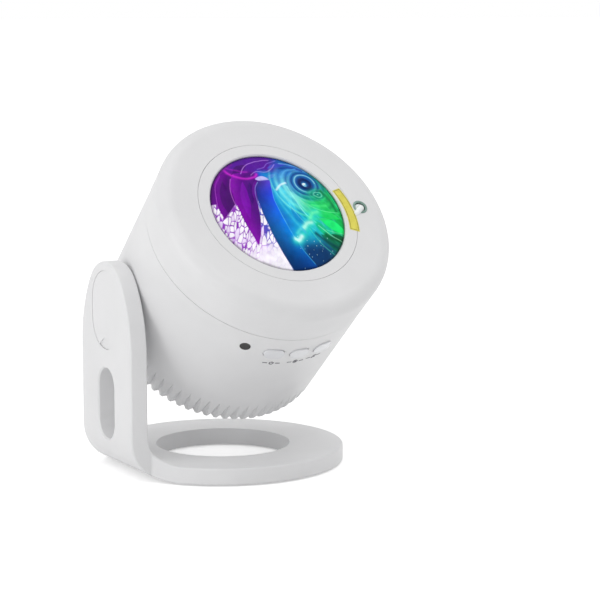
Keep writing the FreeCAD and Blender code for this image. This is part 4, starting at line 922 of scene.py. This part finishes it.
def camera():
    """Camera fitted to the photograph."""
    azimuth, elevation = math.radians(-29.576), math.radians(8.119)
    back = Vector((math.sin(azimuth) * math.cos(elevation),
                   -math.cos(azimuth) * math.cos(elevation), math.sin(elevation)))
    right = Vector((math.cos(azimuth), math.sin(azimuth), 0.0))
    turn = Matrix((right, back.cross(right), back)).transposed().to_4x4()
    data = bpy.data.cameras.new("camera")
    data.lens, data.sensor_width = 122.66, 36.0
    data.clip_start, data.clip_end = 0.05, 100.0
    made = bpy.data.objects.new("camera", data)
    made.matrix_world = Matrix.Translation((-0.507107, -0.979453, 0.245817)) @ turn
    bpy.context.scene.collection.objects.link(made)
    bpy.context.scene.camera = made


def lamp(name, data, place, direction):
    """Lamp at a place, shining along a direction."""
    made = bpy.data.objects.new(name, data)
    made.location = place
    made.rotation_mode = "QUATERNION"
    made.rotation_quaternion = Vector(direction).to_track_quat("-Z", "Y")
    bpy.context.scene.collection.objects.link(made)


def sun(name, direction, strength, spread):
    """Wide, soft sun; the spread is in degrees."""
    data = bpy.data.lights.new(name, "SUN")
    data.energy, data.angle = strength, math.radians(spread)
    lamp(name, data, (0.0, 0.0, 0.0), direction)


def softbox(name, place, target, size, power):
    """Rectangular lamp that faces a target; the power is in watts."""
    data = bpy.data.lights.new(name, "AREA")
    data.shape, data.energy = "RECTANGLE", power
    data.size, data.size_y = size
    lamp(name, data, place, Vector(target) - Vector(place))


def seen_ray(tree):
    """1 for camera, glossy and transmission rays, else 0."""
    path = tree.nodes.new("ShaderNodeLightPath")
    total = path.outputs["Is Camera Ray"]
    for other in ("Is Glossy Ray", "Is Transmission Ray"):
        joined = tree.nodes.new("ShaderNodeMath")
        joined.operation = "MAXIMUM"
        tree.links.new(total, joined.inputs[0])
        tree.links.new(path.outputs[other], joined.inputs[1])
        total = joined.outputs[0]
    return total


def world(level):
    """White where it is seen, and a plain grey level where it lights."""
    made = bpy.data.worlds.new("studio")
    made.use_nodes = True
    tree = made.node_tree
    mixed = tree.nodes.new("ShaderNodeMix")
    mixed.data_type = "RGBA"
    tree.links.new(seen_ray(tree), mixed.inputs[MIX_FACTOR])
    mixed.inputs[MIX_FIRST].default_value = (level, level, level, 1)
    mixed.inputs[MIX_SECOND].default_value = (1, 1, 1, 1)
    tree.links.new(mixed.outputs[MIX_RESULT], tree.nodes["Background"].inputs["Color"])
    bpy.context.scene.world = made


def floor(albedo, lift, half=40.0, gap=0.0001):
    """Pale floor that keeps the shadow; a lift for seen rays only takes it to white."""
    material = bpy.data.materials.new("pale_floor")
    material.use_nodes = True
    tree = material.node_tree
    tree.nodes.remove(tree.nodes["Principled BSDF"])
    diffuse = tree.nodes.new("ShaderNodeBsdfDiffuse")
    diffuse.inputs["Color"].default_value = (albedo, albedo, albedo, 1)
    glow = tree.nodes.new("ShaderNodeEmission")
    scaled = tree.nodes.new("ShaderNodeMath")
    scaled.operation = "MULTIPLY"
    tree.links.new(seen_ray(tree), scaled.inputs[0])
    scaled.inputs[1].default_value = lift
    tree.links.new(scaled.outputs[0], glow.inputs["Strength"])
    added = tree.nodes.new("ShaderNodeAddShader")
    tree.links.new(diffuse.outputs[0], added.inputs[0])
    tree.links.new(glow.outputs[0], added.inputs[1])
    tree.links.new(added.outputs[0], tree.nodes["Material Output"].inputs["Surface"])
    mesh = bpy.data.meshes.new("floor")
    mesh.from_pydata([(-half, -half, 0), (half, -half, 0), (half, half, 0), (-half, half, 0)],
                     [], [(0, 1, 2, 3)])
    mesh.materials.append(material)
    made = bpy.data.objects.new("floor", mesh)
    made.location.z = cad_low.z - gap
    bpy.context.scene.collection.objects.link(made)


bpy.context.scene.view_settings.view_transform = "Standard"
camera()
dress_frame()
crystal()
key_marks()
face_strip()
strip_border()
laser_trim()
world(level=0.53)
sun("key_light", direction=(0.15, 0.1, -1.0), strength=0.8, spread=70.0)
sun("fill_light", direction=(-0.8, 0.3, -0.8), strength=0.34, spread=80.0)
BODY_MIDDLE = (0.0, 0.0, 0.07)
softbox("side_box", (-1.0, -0.1, 0.2), BODY_MIDDLE, size=(0.5, 0.6), power=2.2)
softbox("front_box", (-0.7, -0.9, 0.12), BODY_MIDDLE, size=(0.6, 0.2), power=0.5)
floor(albedo=0.9, lift=0.44)
